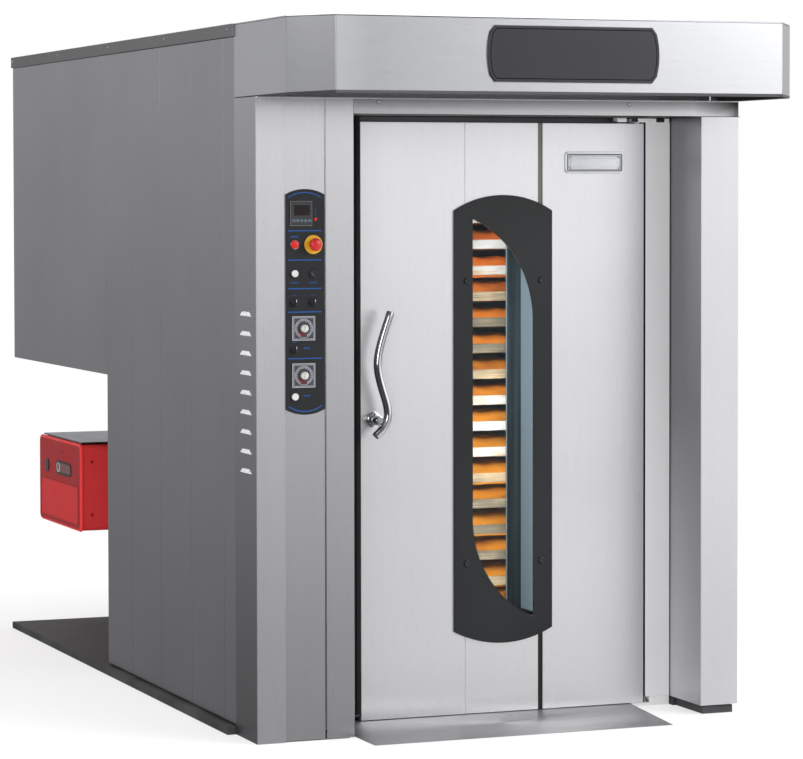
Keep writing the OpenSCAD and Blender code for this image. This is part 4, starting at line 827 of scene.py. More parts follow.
def rounded(width: float, height: float, radius: float, x: float = 0.0, y: float = 0.0,
            steps: int = 6) -> list[Pair]:
    """Gives a rectangle's outline with round corners.

    Args:
        width: Its width.
        height: Its height.
        radius: Radius of its corners.
        x: First coordinate of its middle.
        y: Second coordinate of its middle.
        steps: Stretches in a corner.

    Returns:
        The points, anticlockwise.
    """
    points = []
    for corner, (sx, sy) in enumerate(((1, 1), (-1, 1), (-1, -1), (1, -1))):
        for i in range(steps + 1):
            turn = math.radians(90 * corner + 90 * i / steps)
            points.append((x + sx * (width / 2 - radius) + radius * math.cos(turn),
                           y + sy * (height / 2 - radius) + radius * math.sin(turn)))
    return points


class Shaper:
    """Builds one piece out of solids that are given in the oven's own millimetres."""

    def __init__(self, name: str) -> None:
        """Starts an empty piece.

        Args:
            name: Name of the piece.
        """
        self.name = name
        self.mesh = bmesh.new()
        self.finishes: list[Finish] = []

    def add(self, finish: Finish, part: bmesh.types.BMesh, sharp: float = SHARP) -> None:
        """Takes in one solid.

        Args:
            finish: Its finish.
            part: Its mesh, which is freed.
            sharp: Degrees over which an edge stays sharp.
        """
        if finish not in self.finishes:
            self.finishes.append(finish)
        bmesh.ops.recalc_face_normals(part, faces=part.faces)
        smooth_shading(part, sharp)
        for face in part.faces:
            face.material_index = self.finishes.index(finish)
        data = bpy.data.meshes.new("part")
        part.to_mesh(data)
        part.free()
        self.mesh.from_mesh(data)
        bpy.data.meshes.remove(data)

    def block(self, finish: Finish, low: Point, high: Point, edge: float = 0.8, segments: int = 1) -> None:
        """Adds a block with broken edges.

        Args:
            finish: Its finish.
            low: Its lowest corner.
            high: Its highest corner.
            edge: Width of its broken edges.
            segments: Facets of an edge.
        """
        part = bmesh.new()
        bmesh.ops.create_cube(part, size=1.0)
        size = [(h - l) * MM for l, h in zip(low, high)]
        middle = at(*[(l + h) / 2 for l, h in zip(low, high)])
        bmesh.ops.transform(part, matrix=Matrix.Translation(middle) @ Matrix.Diagonal((*size, 1.0)),
                            verts=part.verts)
        if edge:
            bmesh.ops.bevel(part, geom=part.edges, offset=edge * MM, segments=segments, profile=0.5,
                            affect="EDGES", clamp_overlap=True)
        self.add(finish, part)

    def loft(self, finish: Finish, loops: Sequence[Sequence[Vector]], capped: bool = True,
             sharp: float = SHARP) -> None:
        """Adds a solid that runs through loops of equally many points.

        Args:
            finish: Its finish.
            loops: The loops, in metres of the model's frame.
            capped: True where the first and last loop are closed by a face, False where the
                last loop joins the first.
            sharp: Degrees over which an edge stays sharp.
        """
        part = bmesh.new()
        rings = [[part.verts.new(point) for point in loop] for loop in loops]
        pairs = list(zip(rings, rings[1:])) + ([] if capped else [(rings[-1], rings[0])])
        for ring, other in pairs:
            for i, vertex in enumerate(ring):
                after = (i + 1) % len(ring)
                part.faces.new((vertex, ring[after], other[after], other[i]))
        if capped:
            part.faces.new(list(reversed(rings[0])))
            part.faces.new(rings[-1])
        bmesh.ops.remove_doubles(part, verts=part.verts, dist=1e-6)
        self.add(finish, part, sharp)

    def prism(self, finish: Finish, outline: Sequence[Pair], axis: Axis, start: float,
              end: float, edge: float = 0.0) -> None:
        """Adds an outline drawn out along an axis, its first face with a broken edge.

        Args:
            finish: Its finish.
            outline: Points across the axis.
            axis: The axis.
            start: Where it starts along the axis.
            end: Where it ends.
            edge: Width of the broken edge at its start.
        """
        loops = [[axis.point(end, a, b) for a, b in outline], [axis.point(start, a, b) for a, b in outline]]
        if edge:
            way = math.copysign(edge, end - start)
            loops[1] = [axis.point(start + way, a, b) for a, b in outline]
            loops.append([axis.point(start, a, b) for a, b in inset(outline, edge)])
        self.loft(finish, loops)

    def band(self, finish: Finish, outline: Sequence[Pair], width: float, axis: Axis,
             start: float, end: float) -> None:
        """Adds a flat band that follows an outline inside it.

        Args:
            finish: Its finish.
            outline: Points of its outer edge across the axis.
            width: Its width.
            axis: The axis across which the outline lies.
            start: Where it starts along the axis.
            end: Where it ends.
        """
        inner = inset(outline, width)
        self.loft(finish, [[axis.point(place, a, b) for a, b in line] for line, place in
                           ((outline, start), (inner, start), (inner, end), (outline, end))], capped=False)

    def lathe(self, finish: Finish, centre: Pair, axis: Axis,
              profile: Sequence[Pair], steps: int = 48, sharp: float = SHARP) -> None:
        """Adds a turned solid, closed at both ends of its profile.

        Args:
            finish: Its finish.
            centre: Its axis' place across the axis.
            axis: The axis.
            profile: Radii and places along the axis. Its first and last ring are closed by a flat
                face, which a radius of 0 shrinks to a point.
            steps: Number of facets round it.
            sharp: Degrees over which an edge stays sharp.
        """
        loops = []
        for radius, along in profile:
            loops.append([axis.point(along, centre[0] + max(radius, 1e-4) * math.cos(math.tau * i / steps),
                                     centre[1] + max(radius, 1e-4) * math.sin(math.tau * i / steps))
                          for i in range(steps)])
        self.loft(finish, loops, sharp=sharp)

    def tube(self, finish: Finish, path: Sequence[Point], radii: Sequence[float], sides: int = 28) -> None:
        """Adds a bar along a path that lies in one plane across Y, with a radius at each place and flat ends.

        Args:
            finish: Its finish.
            path: Places of its middle line.
            radii: Its radius at each place.
            sides: Number of facets round it.
        """
        points = [at(*place) for place in path]
        loops = []
        for i, point in enumerate(points):
            ahead = (points[min(i + 1, len(points) - 1)] - points[max(i - 1, 0)]).normalized()
            side = ahead.cross(Vector((0.0, 1.0, 0.0)))
            if side.length < 1e-6:
                side = Vector((1.0, 0.0, 0.0))
            side.normalize()
            other = ahead.cross(side)
            loops.append([point + (side * math.cos(math.tau * k / sides)
                                   + other * math.sin(math.tau * k / sides)) * radii[i] * MM
                          for k in range(sides)])
        self.loft(finish, loops)

    def piece(self, body: str, slot: str, *nodes: str) -> bpy.types.Object:
        """Finishes the piece.

        Args:
            body: The body that it rides on.
            slot: Its material slot in the record.
            nodes: CAD nodes that it stands for.

        Returns:
            The object.
        """
        return mounted(finished(self.name, self.mesh, self.finishes), body, slot, *nodes)


def inset(outline: Sequence[Pair], width: float) -> list[Pair]:
    """Moves a closed outline inwards.

    Args:
        outline: Its points.
        width: How far it moves.

    Returns:
        As many points.
    """
    area = sum(a[0] * b[1] - b[0] * a[1] for a, b in zip(outline, [*outline[1:], outline[0]]))
    way = 1.0 if area > 0 else -1.0
    moved = []
    for i, point in enumerate(outline):
        here = Vector(point)
        before = Vector(outline[i - 1])
        after = Vector(outline[(i + 1) % len(outline)])
        first, second = (here - before), (after - here)
        if first.length < 1e-9:
            first = second
        if second.length < 1e-9:
            second = first
        sides = [Vector((-line.y, line.x)).normalized() * way for line in (first, second)]
        middle = (sides[0] + sides[1]).normalized()
        moved.append(tuple(here + middle * (width / max(0.35, middle.dot(sides[0])))))
    return moved


def mounted(piece: bpy.types.Object, body: str, slot: str, *nodes: str) -> bpy.types.Object:
    """Makes a piece ride on its body, hides the CAD nodes that it stands for and logs them.

    Args:
        piece: The piece.
        body: The body that it rides on.
        slot: Its material slot in the record; not used.
        nodes: CAD nodes that it stands for.

    Returns:
        The piece.
    """
    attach(piece, body)
    if nodes:
        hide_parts(*nodes)
    LOG.info("%s on %s: %d faces%s", piece.name, body, len(piece.data.polygons),
             f", stands for {', '.join(nodes)}" if nodes else "")
    return piece


@dataclass
class Model:
    """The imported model, whose nodes are refined."""

    nodes: dict[str, bpy.types.Object]

    def soften(self, node: str, finish: Finish, slot: str, edge: float = 1.0, segments: int = 1,
               zones: Sequence["Zone"] = ()) -> bpy.types.Object:
        """Stands a copy with broken edges in for a CAD node.

        Args:
            node: Name of the node.
            finish: Its finish.
            slot: Its material slot in the record.
            edge: Width of the broken edges in millimetres.
            segments: Facets of an edge.
            zones: Parts of it that have another finish.

        Returns:
            The new piece.
        """
        source = self.nodes[node]
        mesh = bmesh.new()
        mesh.from_mesh(source.data)
        bmesh.ops.remove_doubles(mesh, verts=mesh.verts, dist=1e-5)
        bmesh.ops.dissolve_limit(mesh, angle_limit=math.radians(0.4), verts=mesh.verts, edges=mesh.edges)
        if edge:
            edges = [e for e in mesh.edges
                     if e.is_manifold and e.calc_face_angle(0.0) > math.radians(40)
                     and e.calc_length() > 2.2 * edge * MM]
            bmesh.ops.bevel(mesh, geom=edges, offset=edge * MM, segments=segments, profile=0.5,
                            affect="EDGES", clamp_overlap=False)
        smooth_shading(mesh, 24.0 if segments == 1 else 32.0)
        finishes = [finish, *[zone.finish for zone in zones]]
        for face in mesh.faces:
            face.material_index = 0
            for number, zone in enumerate(zones, 1):
                if zone.holds(face):
                    face.material_index = number
        made = finished(f"{node}_piece", mesh, finishes)
        return mounted(made, body_of(source)[0], slot, node)


@dataclass(frozen=True)
class Zone:
    """A box, in the oven's own millimetres, whose faces have another finish."""

    finish: Finish
    low: Point
    high: Point
    facing: Point | None = None

    def holds(self, face: bmesh.types.BMFace) -> bool:
        """Tells whether a face lies in the zone and looks its way.

        Args:
            face: A face of a mesh in the model's frame.

        Returns:
            True where it does.
        """
        middle = (face.calc_center_median() - CORNER) / MM
        inside = all(l <= c <= h for l, c, h in zip(self.low, middle, self.high))
        return inside and (self.facing is None or face.normal.dot(Vector(self.facing)) > 0.7)


# ----------------------------------------------------------------------------- repeated shapes


class Layout(Enum):
    """How repeated shapes are laid out."""

    GRID = "grid"
    RING = "ring"


@dataclass
class Repeat:
    """Repeats a shape by a Geometry Nodes tree and turns the result into a plain mesh.

    A grid takes its counts along X, Y and Z from start by step. A ring takes the number of its
    shapes from the first count, has its middle at start and turns about its axis.
    """

    name: str
    layout: Layout = Layout.GRID
    counts: tuple[int, int, int] = (1, 1, 1)
    start: Point = (0.0, 0.0, 0.0)
    step: Point = (0.0, 0.0, 0.0)
    axis: Axis = Axis.Z
    sweep: float = 360.0
    first: float = 0.0
    spread: Point = (0.0, 0.0, 0.0)
    grow: float = 0.0
    seed: int = 7
    sockets: dict[str, str] = field(default_factory=dict)

    def socket(self, tree: bpy.types.NodeTree, name: str, kind: str) -> None:
        """Adds a named input to the tree and keeps its identifier."""
        item = tree.interface.new_socket(name=name, in_out="INPUT", socket_type=kind)
        self.sockets[name] = item.identifier

    def tree(self) -> bpy.types.NodeTree:
        """Builds the tree.

        Returns:
            A tree with the inputs Piece, Total, Count, Start, Step, Spread, Grow, Seed and Finish.
        """
        tree = bpy.data.node_groups.new(f"repeat_{self.name}", "GeometryNodeTree")
        tree.interface.new_socket(name="Geometry", in_out="INPUT", socket_type="NodeSocketGeometry")
        for name, kind in (("Piece", "Object"), ("Total", "Int"), ("Count", "Vector"), ("Start", "Vector"),
                           ("Step", "Vector"), ("Spread", "Vector"), ("Grow", "Float"), ("Seed", "Int"),
                           ("Finish", "Material")):
            self.socket(tree, name, f"NodeSocket{kind}")
        tree.interface.new_socket(name="Geometry", in_out="OUTPUT", socket_type="NodeSocketGeometry")
        helper = Tree(tree)
        new, link, calc = helper.add, helper.link, helper.math
        group, output = new("NodeGroupInput"), new("NodeGroupOutput")
        index = new("GeometryNodeInputIndex").outputs[0]
        count = new("ShaderNodeSeparateXYZ")
        link(group.outputs["Count"], count.inputs[0])
        place = new("ShaderNodeCombineXYZ")
        turn = new("ShaderNodeCombineXYZ")
        if self.layout is Layout.GRID:
            row = calc("FLOOR", calc("DIVIDE", calc("ADD", index, 0.01), count.outputs[0]))
            layer = calc("FLOOR", calc("DIVIDE", calc("ADD", row, 0.01), count.outputs[1]))
            link(calc("SUBTRACT", index, calc("MULTIPLY", row, count.outputs[0])), place.inputs[0])
            link(calc("SUBTRACT", row, calc("MULTIPLY", layer, count.outputs[1])), place.inputs[1])
            link(layer, place.inputs[2])
        else:
            angle = calc("ADD", calc("MULTIPLY", index, math.radians(self.sweep) / self.divisions()),
                         math.radians(self.first))
            along, a, b = self.axis.value
            sine = calc("SINE", angle)
            link(calc("COSINE", angle), place.inputs[a])
            link(sine, place.inputs[b])
            link(calc("MULTIPLY", angle, -1.0 if self.axis is Axis.Y else 1.0), turn.inputs[along])
        scaled = new("ShaderNodeVectorMath")
        scaled.operation = "MULTIPLY_ADD"
        link(place.outputs[0], scaled.inputs[0])
        link(group.outputs["Step"], scaled.inputs[1])
        link(group.outputs["Start"], scaled.inputs[2])
        points = new("GeometryNodePoints")
        link(group.outputs["Total"], points.inputs["Count"])
        link(scaled.outputs[0], points.inputs["Position"])
        chance = new("FunctionNodeRandomValue")
        chance.data_type = "FLOAT_VECTOR"
        low = new("ShaderNodeVectorMath")
        low.operation = "SCALE"
        low.inputs["Scale"].default_value = -1.0
        link(group.outputs["Spread"], low.inputs[0])
        link(low.outputs[0], chance.inputs[0])
        link(group.outputs["Spread"], chance.inputs[1])
        link(group.outputs["Seed"], chance.inputs["Seed"])
        moved = new("ShaderNodeVectorMath")
        moved.operation = "ADD"
        link(turn.outputs[0], moved.inputs[0])
        link(chance.outputs[0], moved.inputs[1])
        size = new("FunctionNodeRandomValue")
        size.data_type = "FLOAT"
        size.inputs[2].default_value = 1.0
        link(calc("ADD", group.outputs["Grow"], 1.0), size.inputs[3])
        link(group.outputs["Seed"], size.inputs["Seed"])
        shape = new("GeometryNodeObjectInfo")
        shape.inputs["As Instance"].default_value = True
        link(group.outputs["Piece"], shape.inputs["Object"])
        placed = new("GeometryNodeInstanceOnPoints")
        link(points.outputs[0], placed.inputs["Points"])
        link(shape.outputs["Geometry"], placed.inputs["Instance"])
        link(moved.outputs[0], placed.inputs["Rotation"])
        link(size.outputs[1], placed.inputs["Scale"])
        real = new("GeometryNodeRealizeInstances")
        link(placed.outputs[0], real.inputs[0])
        dressed = new("GeometryNodeSetMaterial")
        link(real.outputs[0], dressed.inputs["Geometry"])
        link(group.outputs["Finish"], dressed.inputs["Material"])
        link(dressed.outputs[0], output.inputs[0])
        return tree

    def divisions(self) -> int:
        """Gives the number of stretches that the sweep is shared among."""
        whole = abs(self.sweep) >= 360.0
        return self.counts[0] if whole else max(1, self.counts[0] - 1)

    def make(self, shape: Shaper, finish: Finish, body: str, slot: str, *nodes: str) -> bpy.types.Object:
        """Repeats a shape that is built round the oven's corner point.

        Args:
            shape: The shape, its places measured from (0, 0, 0).
            finish: The finish of them all.
            body: The body that they ride on.
            slot: Their material slot in the record.
            nodes: CAD nodes that they stand for.

        Returns:
            The finished piece.
        """
        bmesh.ops.translate(shape.mesh, vec=-CORNER, verts=shape.mesh.verts)
        source = finished(f"{self.name}_shape", shape.mesh, shape.finishes)
        holder = bpy.data.objects.new(f"{self.name}_holder", bpy.data.meshes.new(self.name))
        bpy.context.scene.collection.objects.link(holder)
        modifier = holder.modifiers.new("repeat", "NODES")
        modifier.node_group = self.tree()
        values = {
            "Piece": source, "Total": self.counts[0] * self.counts[1] * self.counts[2],
            "Count": tuple(float(c) for c in self.counts), "Start": tuple(at(*self.start)),
            "Step": tuple(s * MM for s in self.step), "Spread": tuple(math.radians(s) for s in self.spread),
            "Grow": self.grow, "Seed": self.seed, "Finish": finish.material(),
        }
        for name, value in values.items():
            modifier[self.sockets[name]] = value
        graph = bpy.context.evaluated_depsgraph_get()
        graph.update()
        data = bpy.data.meshes.new_from_object(holder.evaluated_get(graph), depsgraph=graph)
        data.name = self.name
        bpy.data.objects.remove(holder)
        bpy.data.objects.remove(source)
        made = bpy.data.objects.new(self.name, data)
        bpy.context.scene.collection.objects.link(made)
        return mounted(made, body, slot, *nodes)


# ----------------------------------------------------------------------------- the oven's parts


@dataclass(frozen=True)
class Lamp:
    """A soft rectangular light: where it hangs, what it points at and its size in metres, its watts."""

    name: str
    place: Point
    target: Point
    size: Pair
    power: float
    mirrored: bool = True

    def hang(self) -> None:
        """Adds the light to the scene, hidden from the camera and, unless mirrored, from reflections."""
        data = bpy.data.lights.new(self.name, "AREA")
        data.shape, data.energy = "RECTANGLE", self.power
        data.size, data.size_y = self.size
        light = bpy.data.objects.new(self.name, data)
        light.location = self.place
        way = Vector(self.target) - Vector(self.place)
        light.rotation_euler = way.to_track_quat("-Z", "Y").to_euler()
        light.visible_camera = False
        light.visible_glossy = self.mirrored
        bpy.context.scene.collection.objects.link(light)


LAMPS = (
    Lamp("key", (5.5, -7.5, 5.0), (0.2, -0.6, 1.0), (4.0, 3.5), 220.0),
    Lamp("top", (0.0, -1.0, 7.0), (0.0, 0.0, 0.0), (8.0, 8.0), 420.0),
    Lamp("left", (-7.5, -3.0, 4.5), (-0.8, 0.4, 0.8), (3.0, 3.0), 70.0),
    Lamp("fill", (-4.5, -8.5, 2.2), (0.4, -1.0, 1.0), (3.0, 3.0), 120.0),
    Lamp("chamber", tuple(at(1010.0, 362.0, 1010.0)), tuple(at(930.0, 480.0, 1010.0)), (0.03, 1.5), 3.2,
         mirrored=False),
)


@dataclass
class Studio:
    """Camera, surroundings and floor, and the lamps."""

    eye: Point = (-4.0416, -10.6452, 1.7211)
    yaw: float = -21.4525
    pitch: float = -2.0248
    roll: float = -0.0880
    lens: float = 143.46
    drop: float = -0.0934
    sensor: float = 36.0
    floor: float = 60.0
    floor_z: float = -0.0005
    glow: float = 1.0
    tint: float = 1.02
    around: tuple[Pair, ...] = (
        (-180.0, 0.46), (-150.0, 0.50), (-115.0, 0.28), (-85.0, 0.28), (-58.0, 0.36), (-32.0, 0.15),
        (0.0, 0.14), (10.0, 0.25), (17.0, 0.46), (25.0, 1.19), (36.0, 1.72), (60.0, 1.55), (100.0, 1.0),
        (140.0, 0.6), (180.0, 0.46))
    upward: tuple[Pair, ...] = (
        (-1.0, 0.80), (-0.45, 0.72), (-0.25, 0.46), (-0.17, 0.41), (-0.06, 0.70), (0.02, 1.0), (0.12, 1.2),
        (1.0, 1.0))

    def camera(self) -> None:
        """Sets up the camera at the photograph's place."""
        data = bpy.data.cameras.new("camera")
        data.lens, data.sensor_width, data.shift_y = self.lens, self.sensor, self.drop
        data.clip_start, data.clip_end = 0.1, 200.0
        camera = bpy.data.objects.new("camera", data)
        bpy.context.scene.collection.objects.link(camera)
        camera.location = self.eye
        look = Euler((math.radians(90 + self.pitch), 0.0, math.radians(self.yaw))).to_matrix()
        turn = Matrix.Rotation(math.radians(self.roll), 3, "Z")
        camera.rotation_euler = (look @ turn).to_euler()
        bpy.context.scene.camera = camera

    def surroundings(self) -> None:
        """Makes a white backdrop, with darker walls to the left and behind for the steel to reflect."""
        world = bpy.data.worlds.new("studio")
        bpy.context.scene.world = world
        world.use_nodes = True
        tree = Tree(world.node_tree)
        tree.tree.nodes.clear()
        add, link = tree.add, tree.link
        split = add("ShaderNodeSeparateXYZ")
        link(add("ShaderNodeTexCoord").outputs["Generated"], split.inputs[0])
        turn = tree.math("ARCTAN2", split.outputs["X"], tree.math("MULTIPLY", split.outputs["Y"], -1.0))
        around = tree.blend(tree.remap(turn, 0.0, 1.0, -math.pi, math.pi), [
            (0.5 + angle / 360.0, (tone, tone, tone * self.tint)) for angle, tone in self.around])
        height = tree.blend(tree.remap(split.outputs["Z"], 0.0, 1.0, -1.0, 1.0), [
            (0.5 + rise / 2.0, (tone, tone, tone)) for rise, tone in self.upward])
        tones = add("ShaderNodeMix")
        tones.data_type, tones.blend_type = "RGBA", "MULTIPLY"
        tones.inputs["Factor"].default_value = 1.0
        link(around, tones.inputs["A"])
        link(height, tones.inputs["B"])
        walls, backdrop = add("ShaderNodeBackground"), add("ShaderNodeBackground")
        link(tones.outputs["Result"], walls.inputs["Color"])
        walls.inputs["Strength"].default_value = self.glow
        backdrop.inputs["Color"].default_value = (1.0, 1.0, 1.0, 1.0)
        seen, mix = add("ShaderNodeLightPath"), add("ShaderNodeMixShader")
        output = add("ShaderNodeOutputWorld")
        link(seen.outputs["Is Camera Ray"], mix.inputs["Fac"])
        link(walls.outputs[0], mix.inputs[1])
        link(backdrop.outputs[0], mix.inputs[2])
        link(mix.outputs[0], output.inputs["Surface"])

    def build(self) -> None:
        """Sets up camera, lights, surroundings and floor."""
        self.camera()
        self.surroundings()
        bpy.context.scene.view_settings.view_transform = "Standard"
        for lamp in LAMPS:
            lamp.hang()
        half = self.floor / 2
        mesh = bmesh.new()
        mesh.faces.new([mesh.verts.new((x * half, y * half, self.floor_z))
                        for x, y in ((-1, -1), (1, -1), (1, 1), (-1, 1))])
        floor = finished("floor", mesh, [FLOOR])
        floor.visible_glossy = False
        floor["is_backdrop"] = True


@dataclass
class Cabinet:
    """Panels, roof, base and entry ramp."""

    rivet_r: float = 5.0
    rivet_y: float = 262.0
    rivet_pitch: float = 670.0
    rivet_count: int = 5
    flashing_x: Pair = (-6.0, 1680.0)
    flashing_z: float = 2232.0

    def build(self, model: Model) -> None:
        """Refines the panels and rivets the roof's edge strips.

        Args:
            model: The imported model.
        """
        model.soften("left_side_panels", SIDE_STEEL, "side_steel", 1.5)
        model.soften("right_side_panels", SIDE_STEEL, "side_steel", 1.5, zones=(
            Zone(SHADOW_STEEL, (1600.0, 200.0, 1990.0), (1710.0, 212.0, 2340.0), (0.0, -1.0, 0.0)),))
        model.soften("rear_panels", SIDE_STEEL, "side_steel", 1.2)
        model.soften("roof_deck", ROOF_STEEL, "side_steel", 1.2)
        model.soften("base_plate", BASE_PAINT, "base_paint", 1.0)
        model.soften("entry_ramp", RAMP_STEEL, "ramp_steel", 0.7)
        self.rivets()

    def rivets(self) -> None:
        """Sets a row of rivets on each side of the roof's edge."""
        for side, x, way in zip(("left", "right"), self.flashing_x, (-1.0, 1.0)):
            head = Shaper("rivet")
            head.lathe(SIDE_STEEL, (0.0, 0.0), Axis.X, [(self.rivet_r, 0.0), (self.rivet_r * 0.86, way * 1.1),
                       (self.rivet_r * 0.5, way * 1.8), (0.0, way * 2.0)], steps=12)
            Repeat(f"{side}_roof_rivets", counts=(1, self.rivet_count, 1),
                   start=(x, self.rivet_y, self.flashing_z), step=(0.0, self.rivet_pitch, 0.0)).make(
                       head, SIDE_STEEL, "oven_body", "side_steel")


@dataclass
class Louvres:
    """The left pillar with its column of pressed louvres."""

    count: int = 9
    low: float = 840.0
    pitch: float = 61.5
    height: float = 14.0
    out: float = 4.9
    foot: float = 52.0
    crown: float = 34.0
    start_y: float = 99.0
    sheet: float = 4.0
    top: float = 2015.6

    def build(self, model: Model) -> None:
        """Refines the pillar's sheets and sets the louvres on them.

        Args:
            model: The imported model.
        """
        sheets = Shaper("pillar_sheets")
        sheets.block(FRONT_STEEL, (0.0, 0.0, 0.0), (94.6, self.sheet, self.top), 1.0)
        # The side sheet takes painted shade towards the floor and painted light at its top.
        sheets.block(CHEEK_SHADE_STEEL, (0.0, self.sheet + 0.4, 0.0), (self.sheet, 206.0, self.top), 0.8)
        sheets.piece("oven_body", "brushed_steel", "left_pillar")
        hood = Shaper("louvre")
        foot, crown = self.foot, self.crown
        # The hoods are pale paint on the pressed steel: a painted highlight.
        hood.loft(LOUVRE_HIGHLIGHT, [
            self.loop(foot, 0.0, 0.1), self.loop(foot - 2.0, 1.2, 0.75), self.loop(foot - 6.0, 4.0, 1.0),
            self.loop(crown, self.height - 1.6, 0.55), self.loop(crown - 2.0, self.height, 0.1)])
        Repeat("louvre_hoods", counts=(1, 1, self.count), start=(0.0, self.start_y, self.low),
               step=(0.0, 0.0, self.pitch)).make(hood, LOUVRE_HIGHLIGHT, "oven_body", "brushed_steel")

    def loop(self, half: float, z: float, out: float) -> list[Vector]:
        """Gives a hood's section at height z, of half a length and pressed out by a share of its depth.

        Args:
            half: Half its length.
            z: Its height in the hood.
            out: Share of the depth.

        Returns:
            The points of the section.
        """
        depth, corner = self.out * out, min(6.0, self.out * out)
        side = ((0.4, half), (-depth * 0.3, half), (-depth * 0.9, half - corner * 0.6),
                (-depth, half - corner))
        return [at(x, -y, z) for x, y in side] + [at(x, y, z) for x, y in reversed(side)]


@dataclass
class Front:
    """Fascia, door frame, header, right pillar and hinge post."""

    seal: Pair = (411.0, 431.0)
    seal_z: Pair = (34.0, 1962.0)
    screw_r: float = 6.5
    screw_x: float = 408.0
    screw_z: float = 2001.0
    screw_pitch: float = 868.0
    keepers: tuple[Pair, ...] = ((1342.0, 1375.0), (1417.0, 1484.0), (1515.0, 1531.0))

    def build(self, model: Model) -> None:
        """Refines the sheets and seals the jamb.

        Args:
            model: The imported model.
        """
        model.soften("control_fascia", FASCIA_STEEL, "brushed_steel", 0.8)
        # The header zone takes painted shade under the canopy and at its right end; the shadow zones darken
        # the faces round the door.
        model.soften("front_frame", FRONT_STEEL, "brushed_steel", 0.8, zones=(
            Zone(FASCIA_STEEL, (225.0, -1.0, 0.0), (323.2, 3.0, 2020.0)),
            Zone(HEADER_SHADE_STEEL, (324.0, -1.0, 1963.0), (1680.0, 3.0, 2020.0)),
            Zone(SHADOW_STEEL, (319.0, 1.0, 0.0), (445.0, 245.0, 1963.9)),
            Zone(SHADOW_STEEL, (323.0, 268.0, 0.0), (1480.0, 331.0, 1963.9)),
            Zone(SHADOW_STEEL, (323.0, 4.0, 1963.0), (1680.0, 331.0, 2020.0)),))
        # The pillar's return face takes a shaded copy of its steel: painted shade, lighter at its foot.
        model.soften("right_pillar", PILLAR_STEEL, "brushed_steel", 0.8, zones=(
            Zone(RETURN_SHADE_STEEL, (1538.0, 4.2, 0.0), (1544.0, 331.0, 2020.0)),))
        # The hinge post takes the lit copy of the steel: painted light; its left face takes painted shade.
        model.soften("hinge_post", POST_LIT_STEEL, "brushed_steel", 1.2, zones=(
            Zone(SHADOW_STEEL, (1444.0, 229.5, 0.0), (1449.0, 300.0, 1965.0), (-1.0, 0.0, 0.0)),))
        seal = Shaper("jamb_seal")
        (left, right), (foot, top) = self.seal, self.seal_z
        seal.block(GASKET, (left, 229.0, foot), (right, 231.9, top), 0.9)
        seal.block(GASKET, (left + 5.0, 226.0, foot), (left + 9.0, 230.0, top), 0.9)
        seal.block(GASKET, (324.0, -0.5, 1962.6), (1679.6, 1.5, 1964.4), 0.3)
        seal.piece("oven_body", "gasket_rubber")
        # The keepers take the post's lit copy of the steel: painted light.
        keepers = Shaper("hinge_keepers")
        for low, high in self.keepers:
            keepers.block(POST_LIT_STEEL, (low, 223.0, 1949.5), (high, 226.6, 1962.0), 0.8)
        # A black strip behind the keepers: painted shade of the dark gap over the door.
        keepers.block(BLACK, (1394.0, 226.7, 1949.4), (1536.0, 227.8, 1962.6), 0.0)
        low, high = self.keepers[0]
        keepers.block(POST_LIT_STEEL, (low, 226.6, 1951.0), (high, 262.0, 1963.6), 0.8)
        keepers.piece("oven_body", "brushed_steel")
        head = Shaper("screw")
        head.lathe(DARK_FIXING, (0.0, 0.0), Axis.Y, [(self.screw_r, 0.0), (self.screw_r, -0.6),
                   (self.screw_r * 0.8, -1.7), (self.screw_r * 0.45, -2.0), (self.screw_r * 0.45, -1.0),
                   (0.0, -1.0)], steps=16)
        Repeat("header_screws", counts=(2, 1, 1), start=(self.screw_x, 0.0, self.screw_z),
               step=(self.screw_pitch, 0.0, 0.0)).make(head, DARK_FIXING, "oven_body", "dark_fixing")


